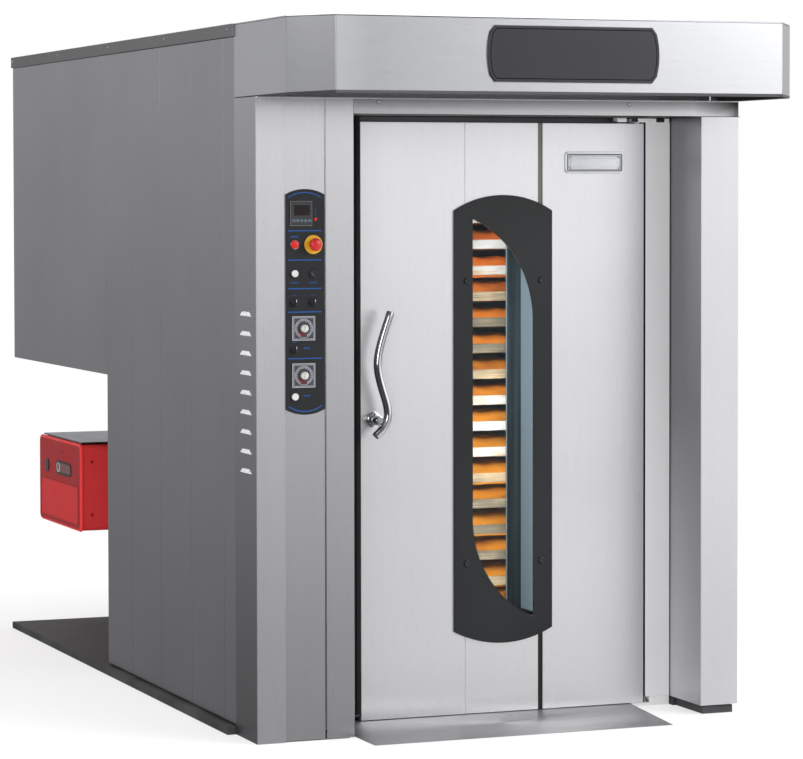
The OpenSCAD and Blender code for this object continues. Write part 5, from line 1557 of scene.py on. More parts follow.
@dataclass
class Canopy:
    """Hood over the door with its bare plate."""

    plate: Pair = (578.0, 172.0)
    middle: Pair = (881.0, 2139.2)
    face: float = -443.3
    low: float = 2016.0

    def outline(self, shrink: float) -> list[Pair]:
        """Gives the plate's outline, drawn in by a distance.

        Args:
            shrink: The distance.

        Returns:
            The outline's points.
        """
        width, height = self.plate[0] / 2, self.plate[1] / 2
        x, z = self.middle
        right = arc((x + width - 9, z - height + 20), (x + width - 9, z + height - 20), -9.0, 8)
        left = arc((x - width + 9, z + height - 20), (x - width + 9, z - height + 20), -9.0, 8)
        points = [(x + width - 25, z - height), *right, (x + width - 25, z + height),
                  (x - width + 25, z + height), *left, (x - width + 25, z - height)]
        return inset(points, shrink) if shrink else points

    def build(self, model: Model) -> None:
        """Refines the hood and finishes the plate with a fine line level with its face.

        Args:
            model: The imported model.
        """
        model.soften("canopy_shell", CANOPY_STEEL, "brushed_steel", 1.4, zones=(
            Zone(SHADOW_STEEL, (-1.0, -440.0, 2000.0), (1710.0, 210.0, 2240.0), (0.0, 0.0, -1.0)),
            Zone(SHADOW_STEEL, (3.0, -434.0, 2000.0), (1704.0, 210.0, 2249.0), (0.0, 1.0, 0.0)),
            Zone(SHADOW_STEEL, (1500.0, -434.0, 2000.0), (1704.0, 210.0, 2249.0), (-1.0, 0.0, 0.0)),
            Zone(SHADOW_STEEL, (3.0, -434.0, 2000.0), (200.0, 210.0, 2249.0), (1.0, 0.0, 0.0)),))
        trim = Shaper("canopy_ledge")
        trim.block(FRONT_STEEL, (5.0, -6.0, 2011.5), (1673.0, -0.5, 2015.4), 0.6)
        trim.piece("oven_body", "brushed_steel")
        self.paint_fold_shade()
        plate = Shaper("hood_plate")
        plate.prism(PLATE_BLACK, self.outline(0.0), Axis.Y, self.face, self.face + 6.0, 1.6)
        plate.band(KEYLINE, self.outline(9.0), 2.2, Axis.Y, self.face, self.face + 0.6)
        plate.piece("oven_body", "panel_black", "canopy_nameplate")

    def paint_fold_shade(self) -> None:
        """Lines the hood's lower edge with a thin dark strip, painted shade along its folded edge."""
        corners = ((0.0, 190.0, 2.0), (0.0, -289.0, 3.0), (105.0, -437.0, 7.5), (1602.0, -437.0, 9.0),
                   (1706.2, -290.0, 7.0))
        low = self.low + 0.4
        fold_shade_strip = Shaper("canopy_fold")
        fold_shade_strip.loft(SHADOW_STEEL, [[at(x - 0.7, y - 0.7, low), at(x - 0.7, y - 0.7, low + height),
                                  at(x + 0.6, y + 0.6, low + height), at(x + 0.6, y + 0.6, low)]
                                 for x, y, height in corners])
        fold_shade_strip.piece("oven_body", "brushed_steel")


@dataclass
class Door:
    """The door's leaf with its window, badge and gasket."""

    clear: tuple[float, float, float, float] = (819.0, 1038.0, 319.0, 1634.0)
    curve: float = 332.0
    mask_front: float = 221.7
    fixing_r: float = 10.5
    fixing: Pair = (800.0, 507.0)
    fixing_pitch: Pair = (264.0, 922.0)
    lamp_low: Point = (1038.4, 237.0, 325.4)
    lamp_high: Point = (1089.2, 333.0, 1627.6)
    lamp_end: float = 12.0
    border_x: float = 993.0
    badge: tuple[float, float, float, float] = (1258.0, 1815.0, 215.0, 72.0)

    def clear_outline(self) -> list[Pair]:
        """Gives the clear glass's outline: upright sides, curved at the upper right and lower left.

        Returns:
            The outline's points.
        """
        x0, x1, z0, z1 = self.clear
        width = x1 - x0
        radius = (width ** 2 + self.curve ** 2) / (2 * width)
        sweep = math.asin(self.curve / radius)
        turns = [sweep * i / 24 for i in range(25)]
        low = [(x0 + radius * (1 - math.cos(t)), z0 + self.curve - radius * math.sin(t)) for t in turns]
        high = [(x1 - radius * (1 - math.cos(t)), z1 - self.curve + radius * math.sin(t)) for t in turns]
        return [(x0, z1), *low, *high]

    def build(self, model: Model) -> None:
        """Refines the leaf and dresses the window.

        Args:
            model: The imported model.
        """
        # The groove between the two skins takes painted shade, lighter upwards.
        model.soften("door_outer_skin", DOOR_STEEL, "brushed_steel", 1.2, zones=(
            Zone(GROOVE_SHADE_STEEL, (1055.9, 228.5, 0.0), (1072.1, 233.0, 1950.0)),))
        model.soften("door_inner_liner", LINER_STEEL, "liner_steel", 1.5)
        model.soften("door_gasket", GASKET, "gasket_rubber", 1.5)
        model.soften("window_mask", MASK_BLACK, "mask_black", 0.8, zones=(
            Zone(BORDER_BLUE, (790.0, 338.0, 290.0), (1110.0, 350.0, 1660.0)),))
        # A thin glowing strip along the blue border's edge, in the lamp's glowing finish: a painted
        # highlight.
        border = Shaper("border_lip")
        border.block(LAMP_WHITE, (self.border_x - 3.2, 338.6, 326.0),
                     (self.border_x - 0.1, 342.8, 1627.0), 0.3)
        border.piece("door", "mask_black")
        model.soften("window_glass", CLEAR_GLASS, "clear_glass", 0.6)
        self.rim()
        self.lamp()
        self.fixings()
        self.plate()

    def rim(self) -> None:
        """Lines the clear glass with its ground edge."""
        rim = Shaper("glass_rim")
        outline = inset(self.clear_outline(), 0.2)
        rim.band(GLASS_EDGE, outline, 1.6, Axis.Y, self.mask_front, self.mask_front + 6.0)
        rim.piece("door", "mask_black")

    def lamp(self) -> None:
        """Builds the upright light beside the glass: its lens and its two end caps."""
        lamp = Shaper("window_light")
        (x0, y0, z0), (x1, y1, z1), end = self.lamp_low, self.lamp_high, self.lamp_end
        lamp.block(LAMP_WHITE, (x0, y0 + 2.0, z0 + end), (x1, y1 - 2.0, z1 - end), 1.5)
        for z in (z0, z1 - end):
            lamp.block(DARK_FIXING, (x0, y0, z), (x1, y1, z + end), 1.0)
        lamp.piece("door", "lamp_white", "window_lamp")

    def fixings(self) -> None:
        """Sets the four round fixings of the black frame."""
        r = self.fixing_r
        head = Shaper("fixing")
        head.lathe(DARK_FIXING, (0.0, 0.0), Axis.Y, [(0.0, 0.0), (r, 0.0), (r, -2.4), (r * 0.94, -3.8),
                   (r * 0.80, -4.8), (r * 0.55, -4.9), (r * 0.40, -3.4), (0.0, -2.8)], steps=28)
        (x, z), (across, up) = self.fixing, self.fixing_pitch
        Repeat("window_fixings", counts=(2, 1, 2), start=(x, self.mask_front - 0.3, z),
               step=(across, 0.0, up)).make(head, DARK_FIXING, "door", "dark_fixing", "glass_fixings")

    def plate(self) -> None:
        """Builds the bare badge: a plate with a raised rim round a brushed field, its grooves and outline
        dark with painted shade.
        """
        x, z, width, height = self.badge
        outline = rounded(width, height, 13.0, x, z)
        badge = Shaper("door_plate")
        badge.prism(BADGE_FIELD, outline, Axis.Y, 225.6, 227.7, 0.4)
        for drawn_in, width, front, finish in (
                (0.0, 2.8, 226.4, BADGE_GROOVE_SHADE), (2.8, 4.4, 222.8, CHROME), (7.2, 3.4, 225.2, BADGE_GROOVE_SHADE),
                (10.6, 2.4, 223.8, CHROME), (13.0, 1.8, 225.2, BADGE_GROOVE_SHADE), (22.0, 2.0, 225.0, BADGE_GROOVE_SHADE)):
            badge.band(finish, inset(outline, drawn_in), width, Axis.Y, front, 227.4)
        badge.piece("door", "chrome", "door_badge")


@dataclass
class Handle:
    """The lever of the door with its rose and hub."""

    x: float = 475.0
    z: float = 986.0
    face: float = 228.0
    line_y: float = 168.0
    bar_r: float = 13.5
    hub_r: float = 16.0
    rose_r: float = 26.0
    bends: tuple[Pair, ...] = ((-15, -50), (16, -17), (27, 37), (-7, 187), (37, 349))

    def point(self, i: int, t: float) -> Pair:
        """Gives the middle line at share t between bend i and the next.

        Args:
            i: Number of the bend.
            t: Share of the way to the next bend.

        Returns:
            Its x and z.
        """
        p = self.bends
        a, b, c, d = (Vector(p[k]) for k in (max(i - 1, 0), i, i + 1, min(i + 2, len(p) - 1)))
        spot = (2 * b + (c - a) * t + (2 * a - 5 * b + 4 * c - d) * t ** 2
                + (3 * b - a - 3 * c + d) * t ** 3) / 2
        return self.x + spot.x, self.z + spot.y

    def build(self) -> None:
        """Turns the rose and bends the bar."""
        rose = Shaper("handle_base")
        r, y = self.rose_r, self.face - 0.3
        rose.lathe(CHROME, (self.x, self.z), Axis.Y, [(8.2, y), (r, y), (r, y - 7.0), (r - 1.2, y - 9.4),
                   (r - 4.0, y - 11.0), (20.0, y - 11.8), (8.2, y - 12.0)])
        rose.piece("door", "chrome", "handle_rose")
        lever = Shaper("handle_bar")
        line = [self.point(i, s / 12) for i in range(len(self.bends) - 1) for s in range(12)]
        line.append(tuple(Vector((self.x, self.z)) + Vector(self.bends[-1])))
        count = len(line)
        places = [(x, self.line_y, z) for x, z in line]
        lever.tube(CHROME, places, [self.bar_r - 1.2, *[self.bar_r] * (count - 2), self.bar_r - 1.2], 32)
        for end, before in ((places[0], places[1]), (places[-1], places[-2])):
            way = (Vector(end) - Vector(before)).normalized()
            lever.tube(DARK_FIXING, [tuple(Vector(end) - way), tuple(Vector(end) + way * 0.8)],
                       [self.bar_r - 2.0] * 2, 32)
        hub = self.hub_r
        lever.lathe(CHROME, (self.x, self.z), Axis.Y, [(0.0, 215.2), (hub - 1.0, 215.2), (hub, 214.0),
                    (hub, 170.0), (hub - 1.6, 166.5), (hub - 3.2, 166.0), (hub - 3.6, 168.0), (0.0, 168.0)])
        lever.lathe(CHROME, (self.x, self.z), Axis.Y, [(0.0, 278.0), (7.6, 278.0), (8.0, 276.0), (8.0, 213.0),
                    (0.0, 213.0)], 24)
        lever.lathe(CHROME_DARK, (self.x, self.z), Axis.Y, [(0.0, 168.5), (hub - 5.0, 168.5),
                    (hub - 5.0, 164.5), (hub - 6.2, 163.6), (0.0, 163.4)], 28)
        lever.block(CHROME, (self.x - 0.9, 163.0, self.z - 6.0), (self.x + 0.9, 164.5, self.z + 6.0), 0.3)
        lever.piece("handle", "chrome", "handle_lever")


class Legend(Enum):
    """Plain marks printed on the control panel: half width, height and offset from a control."""

    BAR = (13.0, 5.0, (0.0, -31.0))
    TICK = (7.0, 2.4, (0.0, 21.0))
    SIDE = (11.0, 6.0, (40.0, 0.0))
    TOP = (13.0, 5.0, (0.0, 22.0))


@dataclass
class ControlPanel:
    """The black panel with its instruments, buttons and knobs."""

    left: float = 126.5
    right: float = 188.5
    timers_x: float = 155.5
    controller_x: float = 148.5
    light_x: float = 196.0
    face: float = -1.3
    rows: dict[str, float] = field(default_factory=lambda: {
        "steam": 1082.0, "timer_2": 1148.0, "selector_3": 1230.0, "timer_1": 1295.0, "selector": 1376.0,
        "push": 1466.0, "stop": 1556.0, "controller": 1653.0})
    lines: tuple[float, ...] = (1599.0, 1508.0, 1419.0, 1346.0, 1201.0)
    line: Pair = (105.5, 216.0)
    line_t: float = 3.4
    low: float = 1025.0
    high: float = 1729.0
    rise: float = 17.0
    frame_t: float = 3.3
    button_front: float = -8.6
    head_back: float = -19.6
    selector_front: float = -12.9
    timer_out: float = 3.9
    timer_depth: float = 14.0

    def build(self, model: Model) -> None:
        """Builds the panel and all that it carries.

        Args:
            model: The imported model.
        """
        model.soften("control_panel_plate", PANEL_BLACK, "panel_black", 0.9)
        self.prints()
        self.controller()
        self.instruments(model)
        self.collars()
        for name, place, finish, slot in (
                ("start_button", (self.left, self.rows["push"]), WHITE, "white_plastic"),
                ("stop_button", (self.right, self.rows["push"]), BLACK, "black_plastic"),
                ("steam_button", (self.left, self.rows["steam"]), WHITE, "white_plastic")):
            self.button(name, place, finish, slot)
        self.emergency()
        for number, place in enumerate(self.selectors(), 1):
            self.selector(number, place)
        for number in (1, 2):
            self.timer(number, self.rows[f"timer_{number}"])

    def selectors(self) -> list[Pair]:
        """Gives the places of the selector switches."""
        return [(self.left, self.rows["selector"]), (self.right, self.rows["selector"]),
                (self.left, self.rows["selector_3"])]

    def prints(self) -> None:
        """Prints the blue lines and arcs and the dim plain marks."""
        back, front = self.face + 0.3, self.face - 0.25
        start, end = self.line
        prints = Shaper("panel_lines")
        for z in self.lines:
            prints.block(PRINT_BLUE, (start, front, z - self.line_t / 2),
                         (end, back, z + self.line_t / 2), 0.0)
        for z, way in ((self.high - self.rise - 9.0, 1.0), (self.low + self.rise + 9.0, -1.0)):
            outer = arc((start, z), (end, z), way * self.rise, 18)
            inner = [(x, z0 - way * self.line_t) for x, z0 in outer]
            prints.loft(PRINT_BLUE, [[Axis.Y.point(front, *a), Axis.Y.point(front, *b),
                                      Axis.Y.point(back, *b), Axis.Y.point(back, *a)]
                                     for a, b in zip(outer, inner)])
        push, steam = self.rows["push"], self.rows["steam"]
        marks = [(Legend.BAR, self.left, push), (Legend.BAR, self.right, push),
                 (Legend.SIDE, self.left, steam), (Legend.TOP, self.left, self.rows["stop"]),
                 (Legend.SIDE, *self.selectors()[2])]
        marks += [(Legend.TICK, *place) for place in self.selectors()]
        for mark, x, z in marks:
            half, height, (dx, dz) = mark.value
            prints.block(PRINT_DIM, (x + dx - half, front, z + dz),
                         (x + dx + half, back, z + dz + height), 0.0)
        prints.piece("oven_body", "panel_black")

    def controller(self) -> None:
        """Builds the temperature controller: frame, dark screen, keys, and a red light beside it."""
        x, z = self.controller_x, self.rows["controller"]
        low = self.face - self.frame_t
        unit = Shaper("controller_front")
        unit.prism(INSTRUMENT_EDGE, rounded(71.0, 77.0, 3.0, x, z), Axis.Y, low, self.face - 0.3, 0.8)
        unit.prism(INSTRUMENT_DARK, rounded(67.0, 73.0, 2.0, x, z), Axis.Y, low - 0.25, low + 0.2, 0.1)
        unit.prism(DISPLAY, rounded(52.0, 32.0, 1.5, x + 1.5, z + 10.0), Axis.Y, low - 0.5, low, 0.15)
        unit.lathe(RED_LENS, (self.light_x, z - 18.0), Axis.Y, [(0.0, self.face), (5.2, self.face),
                   (5.2, self.face - 1.6), (4.0, self.face - 2.8), (0.0, self.face - 3.4)], 24)
        unit.block(PRINT_BLUE, (self.light_x - 0.7, self.face - 0.25, z - 8.0),
                   (self.light_x + 0.7, self.face + 0.3, z + 17.0), 0.0)
        unit.piece("oven_body", "instrument_plastic")
        key = Shaper("key")
        key.prism(KEY_PALE, rounded(10.0, 9.0, 1.6), Axis.Y, -1.0, 0.2, 0.35)
        Repeat("controller_keys", counts=(5, 1, 1), start=(x - 25.0, low - 0.2, z - 22.5),
               step=(13.0, 0.0, 0.0)).make(key, KEY_PALE, "oven_body", "instrument_plastic")

    def instruments(self, model: Model) -> None:
        """Refines the instruments' bodies and draws the timers' dials.

        Args:
            model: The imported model.
        """
        model.soften("panel_instruments", INSTRUMENT, "instrument_plastic", 0.7)
        face = self.face - self.frame_t
        for number in (1, 2):
            x, z = self.timers_x, self.rows[f"timer_{number}"]
            dial = Shaper(f"timer_{number}_dial")
            dial.prism(DIAL_GREY, rounded(71.0, 71.0, 3.0, x, z), Axis.Y, face - 0.35, face + 0.2, 0.15)
            dial.band(DIAL_LIGHT, rounded(67.0, 67.0, 2.5, x, z), 1.1, Axis.Y, face - 0.5, face)
            dial.band(DIAL_LIGHT, self.round_at(x, z, 30.0, 0.0, 336.0), 0.9, Axis.Y, face - 0.5, face)
            sector = self.round_at(x, z, 15.0, 205.0, 285.0) + self.round_at(x, z, 26.0, 285.0, 205.0)
            dial.prism(DIAL_RED, sector, Axis.Y, face - 0.55, face)
            dial.piece("oven_body", "instrument_plastic")
            tick = Shaper("tick")
            tick.block(DIAL_LIGHT, (22.0, -0.55, -0.8), (28.0, 0.0, 0.8), 0.0)
            Repeat(f"timer_{number}_ticks", Layout.RING, counts=(25, 1, 1), start=(x, face, z),
                   axis=Axis.Y, sweep=300.0, first=-60.0).make(
                       tick, DIAL_LIGHT, "oven_body", "instrument_plastic")

    @staticmethod
    def round_at(x: float, z: float, radius: float, start: float, end: float) -> list[Pair]:
        """Gives points round a place at a radius, from one angle to another in degrees."""
        return [(x + radius * math.cos(t), z + radius * math.sin(t))
                for t in (math.radians(start + (end - start) * i / 14) for i in range(15))]

    def collars(self) -> None:
        """Turns the collars, the yellow plate and the red lamp."""
        back = self.face - 0.3
        trim = Shaper("panel_collars")
        for x, row in ((self.left, "push"), (self.right, "push"), (self.left, "steam")):
            trim.lathe(BLACK, (x, self.rows[row]), Axis.Y, [(11.3, back), (15.0, back), (15.0, back - 2.6),
                       (13.6, back - 4.0), (11.9, back - 4.0), (11.3, back - 3.2)], 40)
        for place in self.selectors():
            trim.lathe(BLACK, place, Axis.Y, [(7.3, back), (14.0, back), (14.0, back - 2.6),
                       (12.8, back - 4.0), (7.3, back - 4.0)], 40)
        z = self.rows["stop"]
        trim.lathe(YELLOW, (self.right, z), Axis.Y, [(10.3, back), (29.5, back), (29.5, back - 2.6),
                   (28.3, back - 3.6), (10.3, back - 4.0)], 64)
        trim.lathe(BLACK, (self.right, z), Axis.Y, [(10.3, back - 3.0), (14.0, back - 3.0),
                   (14.0, back - 10.8), (12.8, back - 12.0), (10.3, back - 12.0)], 40)
        trim.lathe(CHROME_DARK, (self.left, z), Axis.Y, [(9.0, back), (14.6, back), (14.6, back - 2.0),
                   (13.6, back - 2.6), (9.0, back - 2.6)], 40)
        trim.lathe(RED_LENS, (self.left, z), Axis.Y, [(0.0, back + 3.0), (9.5, back + 3.0), (9.5, back - 0.5),
                   (13.0, back - 1.0), (13.0, back - 4.6), (11.8, back - 6.2), (8.0, back - 6.9),
                   (0.0, back - 7.0)], 40)
        trim.piece("oven_body", "signal_yellow", "panel_trim")

    def button(self, name: str, place: Pair, finish: Finish, slot: str) -> None:
        """Turns a push button with a slightly dished head.

        Args:
            name: The button's node and body.
            place: Its x and z.
            finish: Its finish.
            slot: Its material slot in the record.
        """
        front = self.button_front
        made = Shaper(f"{name}_cap")
        made.lathe(finish, place, Axis.Y, [(0.0, 17.0), (11.0, 17.0), (11.0, front + 1.0),
                   (10.2, front + 0.1), (9.2, front), (7.0, front + 0.5), (0.0, front + 0.8)], 40)
        made.piece(name, slot, name)

    def emergency(self) -> None:
        """Turns the red head with its ring of arrows left plain."""
        x, z = self.right, self.rows["stop"]
        head = self.head_back
        made = Shaper("emergency_head")
        made.lathe(RED, (x, z), Axis.Y, [(0.0, 21.6), (10.0, 21.6), (10.0, head), (18.6, head),
                   (20.0, head - 1.8), (20.0, head - 6.0), (19.0, head - 9.4), (16.4, head - 12.4),
                   (12.6, head - 14.6), (7.5, head - 15.7), (0.0, head - 16.0)], 56, 40.0)
        made.piece("emergency_knob", "signal_red", "emergency_knob")

    def selector(self, number: int, place: Pair) -> None:
        """Builds a selector switch: round base, grip and white pointer line.

        Args:
            number: Its number, from 1.
            place: Its x and z.
        """
        x, z = place
        front = self.selector_front
        made = Shaper(f"selector_{number}_knob")
        made.lathe(BLACK, place, Axis.Y, [(0.0, 26.0), (7.0, 26.0), (7.0, -5.9), (11.0, -5.9),
                   (11.0, front + 1.2), (10.2, front), (0.0, front)], 40)
        made.prism(BLACK, rounded(6.0, 21.0, 2.4, x, z), Axis.Y, front - 7.0, front + 0.5, 0.9)
        made.block(WHITE, (x - 0.8, front - 7.15, z + 1.5), (x + 0.8, front - 6.8, z + 9.0), 0.0)
        made.piece(f"selector_switch_{number}", "black_plastic", f"selector_switch_{number}")

    def timer(self, number: int, z: float) -> None:
        """Builds a timer's fluted knob with its grip and pointer.

        Args:
            number: Its number, from 1.
            z: Its height.
        """
        x, back = self.timers_x, self.face - self.timer_out
        front = back - self.timer_depth
        made = Shaper(f"timer_{number}_grip")
        loops = []
        for radius, along in ((11.6, back), (12.0, back - 1.0), (12.0, front + 3.0), (11.2, front + 0.8),
                              (10.0, front)):
            loops.append([Axis.Y.point(along, x + r * math.cos(t), z + r * math.sin(t))
                          for t, r in ((math.tau * i / 72, radius - (0.5 if i % 4 == 0 else 0.0))
                                       for i in range(72))])
        made.loft(CREAM, loops, sharp=40.0)
        made.prism(CREAM, rounded(5.0, 21.5, 2.0, x, z), Axis.Y, front - 4.0, front + 1.0, 0.8)
        made.block(DIAL_RED, (x - 0.6, front - 4.15, z + 3.0), (x + 0.6, front - 3.8, z + 9.5), 0.0)
        made.lathe(CREAM, (x, z), Axis.Y, [(0.0, back + 17.0), (4.0, back + 17.0), (4.0, back - 0.5),
                   (0.0, back - 0.5)], 20)
        made.piece(f"timer_knob_{number}", "cream_plastic", f"timer_knob_{number}")


@dataclass
class Rack:
    """The rack with its trays, loaves, shaft and casters."""

    middle: Pair = (936.0, 846.3)
    first: float = 222.3
    pitch: float = 87.0
    trays: int = 17
    tray: tuple[float, float, float] = (528.0, 740.0, 32.0)
    sheet: float = 1.5
    loaf: Pair = (490.0, 56.6)
    loaf_pitch: float = 119.33
    rows: int = 6
    casters: Pair = (220.0, 320.0)
    trail: float = 30.0
    axle_z: float = 74.0

    def build(self, model: Model) -> None:
        """Refines the frame and fills it.

        Args:
            model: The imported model.
        """
        model.soften("rack_frame", RACK_STEEL, "rack_steel", 0.9)
        model.soften("rack_shaft", RACK_STEEL, "rack_steel", 0.8)
        self.lay_trays()
        self.lay_loaves()
        for number in (1, 2, 3, 4):
            model.soften(f"caster_fork_{number}", RACK_STEEL, "rack_steel", 0.8)
            self.wheel(number)

    def lay_trays(self) -> None:
        """Lays a tray with sloping sides and a rolled rim on every level but the top one."""
        width, length, height = self.tray
        tray = Shaper("tray")
        loops = []
        for inset_by, z in ((9.0, 0.0), (3.0, 2.0), (1.0, height - 4.0), (0.0, height - 3.0),
                            (0.0, height - 0.6), (1.2, height), (3.2, height), (4.2, height - 1.4),
                            (4.2, height - 5.0), (2.8, height - 6.0), (5.0, 4.0), (10.5, self.sheet)):
            corner = max(3.0, 14.0 - inset_by)
            loops.append([Axis.Z.point(z, a, b) for a, b in
                          rounded(width - 2 * inset_by, length - 2 * inset_by, corner, steps=3)])
        tray.loft(TRAY, loops, sharp=50.0)
        Repeat("rack_trays", counts=(1, 1, self.trays), start=(*self.middle, self.first),
               step=(0.0, 0.0, self.pitch)).make(tray, TRAY, "rack", "tray_metal", "baking_trays")

    def lay_loaves(self) -> None:
        """Lays the loaves across the trays, each a long half round bar with full ends and a wavy back."""
        loaf = Shaper("loaf")
        length, radius = self.loaf
        loops = []
        for share, size in ((0.0, 0.40), (0.02, 0.70), (0.06, 0.90), (0.14, 1.0), (0.24, 0.92), (0.34, 1.0),
                            (0.44, 0.93), (0.54, 1.0), (0.62, 0.88), (0.72, 1.0), (0.82, 0.91), (0.93, 0.95),
                            (0.98, 0.70), (1.0, 0.40)):
            ring = []
            for k in range(11):
                turn = math.pi * k / 10
                ring.append(at(length * (share - 0.5), radius * (0.3 + 0.7 * size) * math.cos(turn),
                               radius * 1.1 * size * math.sin(turn) ** 0.7))
            loops.append([*ring, at(length * (share - 0.5), 0.0, 0.0)])
        loaf.loft(BREAD, loops, sharp=70.0)
        start = (self.middle[0], self.middle[1] - self.loaf_pitch * (self.rows - 1) / 2,
                 self.first + self.sheet + 0.9)
        Repeat("rack_loaves", counts=(1, self.rows, self.trays), start=start,
               step=(0.0, self.loaf_pitch, self.pitch), spread=(14.0, 1.1, 0.5), grow=-0.06).make(
                   loaf, BREAD, "rack", "bread_crust", "bread_loaves")

    def wheel(self, number: int) -> None:
        """Turns a caster's wheel: tyre, rim and hub.

        Args:
            number: Its number, from 1.
        """
        across, along = self.casters
        x = self.middle[0] + (across if number in (2, 3) else -across) - self.trail
        y = self.middle[1] + (along if number >= 3 else -along)
        made = Shaper(f"caster_tyre_{number}")
        made.lathe(WHEEL, (x, self.axle_z), Axis.Y, [(6.05, y - 14.0), (14.0, y - 14.0), (15.0, y - 11.0),
                   (36.0, y - 10.0), (38.0, y - 12.0), (46.0, y - 12.5), (49.2, y - 8.0), (50.0, y),
                   (49.2, y + 8.0), (46.0, y + 12.5), (38.0, y + 12.0), (36.0, y + 10.0), (15.0, y + 11.0),
                   (14.0, y + 14.0), (6.05, y + 14.0)], 48)
        made.piece(f"caster_wheel_{number}", "wheel_black", f"caster_wheel_{number}")


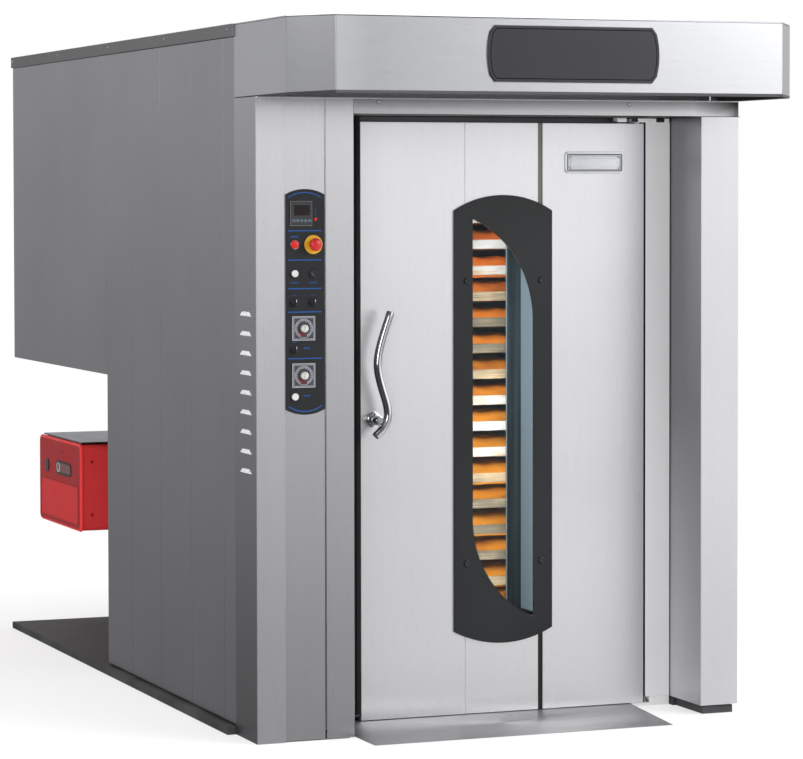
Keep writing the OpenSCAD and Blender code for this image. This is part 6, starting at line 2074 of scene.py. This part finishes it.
@dataclass
class Burner:
    """Red burner under the rear housing."""

    x: float = 60.0
    y: float = 2517.0
    z: float = 606.0
    depth: float = 300.0
    width: float = 590.0
    height: float = 332.0
    corner: float = 26.0
    sheet: float = 4.0
    round: float = 9.0
    window: Pair = (-64.0, 57.0)
    hole: Pair = (-40.0, 118.0)

    def loop(self, x: float, shrink: float) -> list[Vector]:
        """Gives the cover's outline at x, drawn in by a distance.

        Args:
            x: Place along the axis.
            shrink: The distance.

        Returns:
            The outline's points.
        """
        outline = rounded(self.width - 2 * shrink, self.height - 2 * shrink, self.corner - shrink,
                          self.y, self.z)
        return [Axis.X.point(x, a, b) for a, b in outline]

    def build(self, model: Model) -> None:
        """Builds the cover and refines the burner behind it.

        Args:
            model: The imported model.
        """
        cover = Shaper("burner_hood")
        loops = []
        for i in range(5):
            turn = math.radians(90 * i / 4)
            loops.append(self.loop(self.x + self.round * (1 - math.sin(turn)),
                                   self.round * (1 - math.cos(turn))))
        loops += [self.loop(self.x + self.depth, 0.0), self.loop(self.x + self.depth, self.sheet),
                  self.loop(self.x + self.sheet + self.round, self.sheet),
                  self.loop(self.x + self.sheet + 1.0, self.sheet + 6.0)]
        # The cover's sides take a lit copy of the burner red: painted light.
        cover.loft(BURNER_SIDE_LIT, loops)
        face = rounded(self.width - 2 * self.round, self.height - 2 * self.round, self.corner - self.round,
                       self.y, self.z)
        cover.prism(BURNER_RED, face, Axis.X, self.x - 0.4, self.x + 2.0, 0.3)
        panel = rounded(self.width - 66.0, self.height - 186.0, 10.0, self.y, self.z - 70.0)
        cover.prism(BURNER_BRIGHT, panel, Axis.X, self.x - 0.8, self.x + 2.0, 0.6)
        cover.band(BURNER_RED, panel, 3.0, Axis.X, self.x - 1.8, self.x + 1.0)
        self.fittings(cover)
        cover.piece("oven_body", "burner_red", "burner_cover")
        screw = Shaper("screw")
        screw.lathe(BURNER_RED, (0.0, 0.0), Axis.Y, [(5.5, 0.4), (5.5, -1.2), (4.2, -2.4), (0.0, -2.6)], 14)
        Repeat("burner_screws", counts=(1, 1, 2), start=(self.x + 44.0, self.y - self.width / 2 - 0.4,
                                                        self.z - 100.0),
               step=(0.0, 0.0, 200.0)).make(screw, BURNER_RED, "oven_body", "burner_red")
        model.soften("burner_body", BURNER_METAL, "burner_grey", 1.2, zones=(
            Zone(BURNER_LID, (60.0, 2240.0, 772.0), (360.0, 2800.0, 790.0)),
            Zone(BLACK, (50.0, 2650.0, 620.0), (121.0, 2730.0, 690.0)),))

    def fittings(self, cover: Shaper) -> None:
        """Adds the sight glass in its black frame, the bright ring in it and the small dark hole.

        Args:
            cover: The cover's shape.
        """
        y, z = self.y + self.window[0], self.z + self.window[1]
        oval = rounded(212.0, 52.0, 25.9, y, z, 10)
        cover.band(DARK_FIXING, oval, 8.0, Axis.X, self.x - 3.0, self.x + 1.0)
        cover.prism(SIGHT_GLASS, inset(oval, 7.5), Axis.X, self.x - 0.9, self.x + 1.0)
        cover.band(EDGE_STEEL, rounded(44.0, 40.0, 19.9, y + 78.0, z, 10), 4.0, Axis.X, self.x - 2.4,
                   self.x + 0.5)
        cover.lathe(DARK_FIXING, (self.y + self.hole[0], self.z + self.hole[1]), Axis.X, [
            (0.0, self.x + 1.0), (9.0, self.x + 1.0), (9.0, self.x - 0.6), (7.0, self.x - 1.0),
            (5.0, self.x + 0.4), (0.0, self.x + 0.4)], 24)


@dataclass
class HeatAndAir:
    """Chamber, insulation, exchanger, fan, drive, steam generator and ducts."""

    plain: tuple[tuple[str, str, float], ...] = (
        ("chamber_liner", "liner_steel", 0.8), ("air_diffusers", "liner_steel", 0.5),
        ("insulation_slabs", "mineral_wool", 2.5), ("heat_exchanger", "exchanger_steel", 1.0),
        ("exchanger_casing", "side_steel", 1.0), ("fan_motor", "motor_paint", 1.0),
        ("exhaust_collars", "side_steel", 0.6), ("steam_generator", "exchanger_steel", 0.8),
        ("rack_drive", "motor_paint", 1.0), ("fan_impeller", "side_steel", 0.6),
        ("damper_flap", "side_steel", 0.4))

    def build(self, model: Model) -> None:
        """Refines the nodes that the chamber and the housing hold.

        Args:
            model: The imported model.
        """
        finishes = {"liner_steel": LINER_STEEL, "mineral_wool": WOOL, "exchanger_steel": EXCHANGER,
                    "side_steel": SIDE_STEEL, "motor_paint": MOTOR_PAINT}
        for node, slot, edge in self.plain:
            model.soften(node, finishes[slot], slot, edge)


def main() -> None:
    """Loads the model, builds every part in order and logs the CAD box and the visual box."""
    logging.basicConfig(level=logging.INFO, format="%(message)s")
    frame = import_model()
    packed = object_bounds()
    model = Model(frame["nodes"])
    Studio().build()
    for part in (Cabinet(), Louvres(), Front(), Canopy(), Door()):
        part.build(model)
    Handle().build()
    for part in (ControlPanel(), Rack(), Burner(), HeatAndAir()):
        part.build(model)
    boxes = {"cad": [list(map(float, corner)) for corner in packed],
             "visual": [list(map(float, corner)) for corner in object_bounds()]}
    LOG.info("CAD box %s, visual box %s", boxes["cad"], boxes["visual"])


if __name__ == "__main__":
    main()
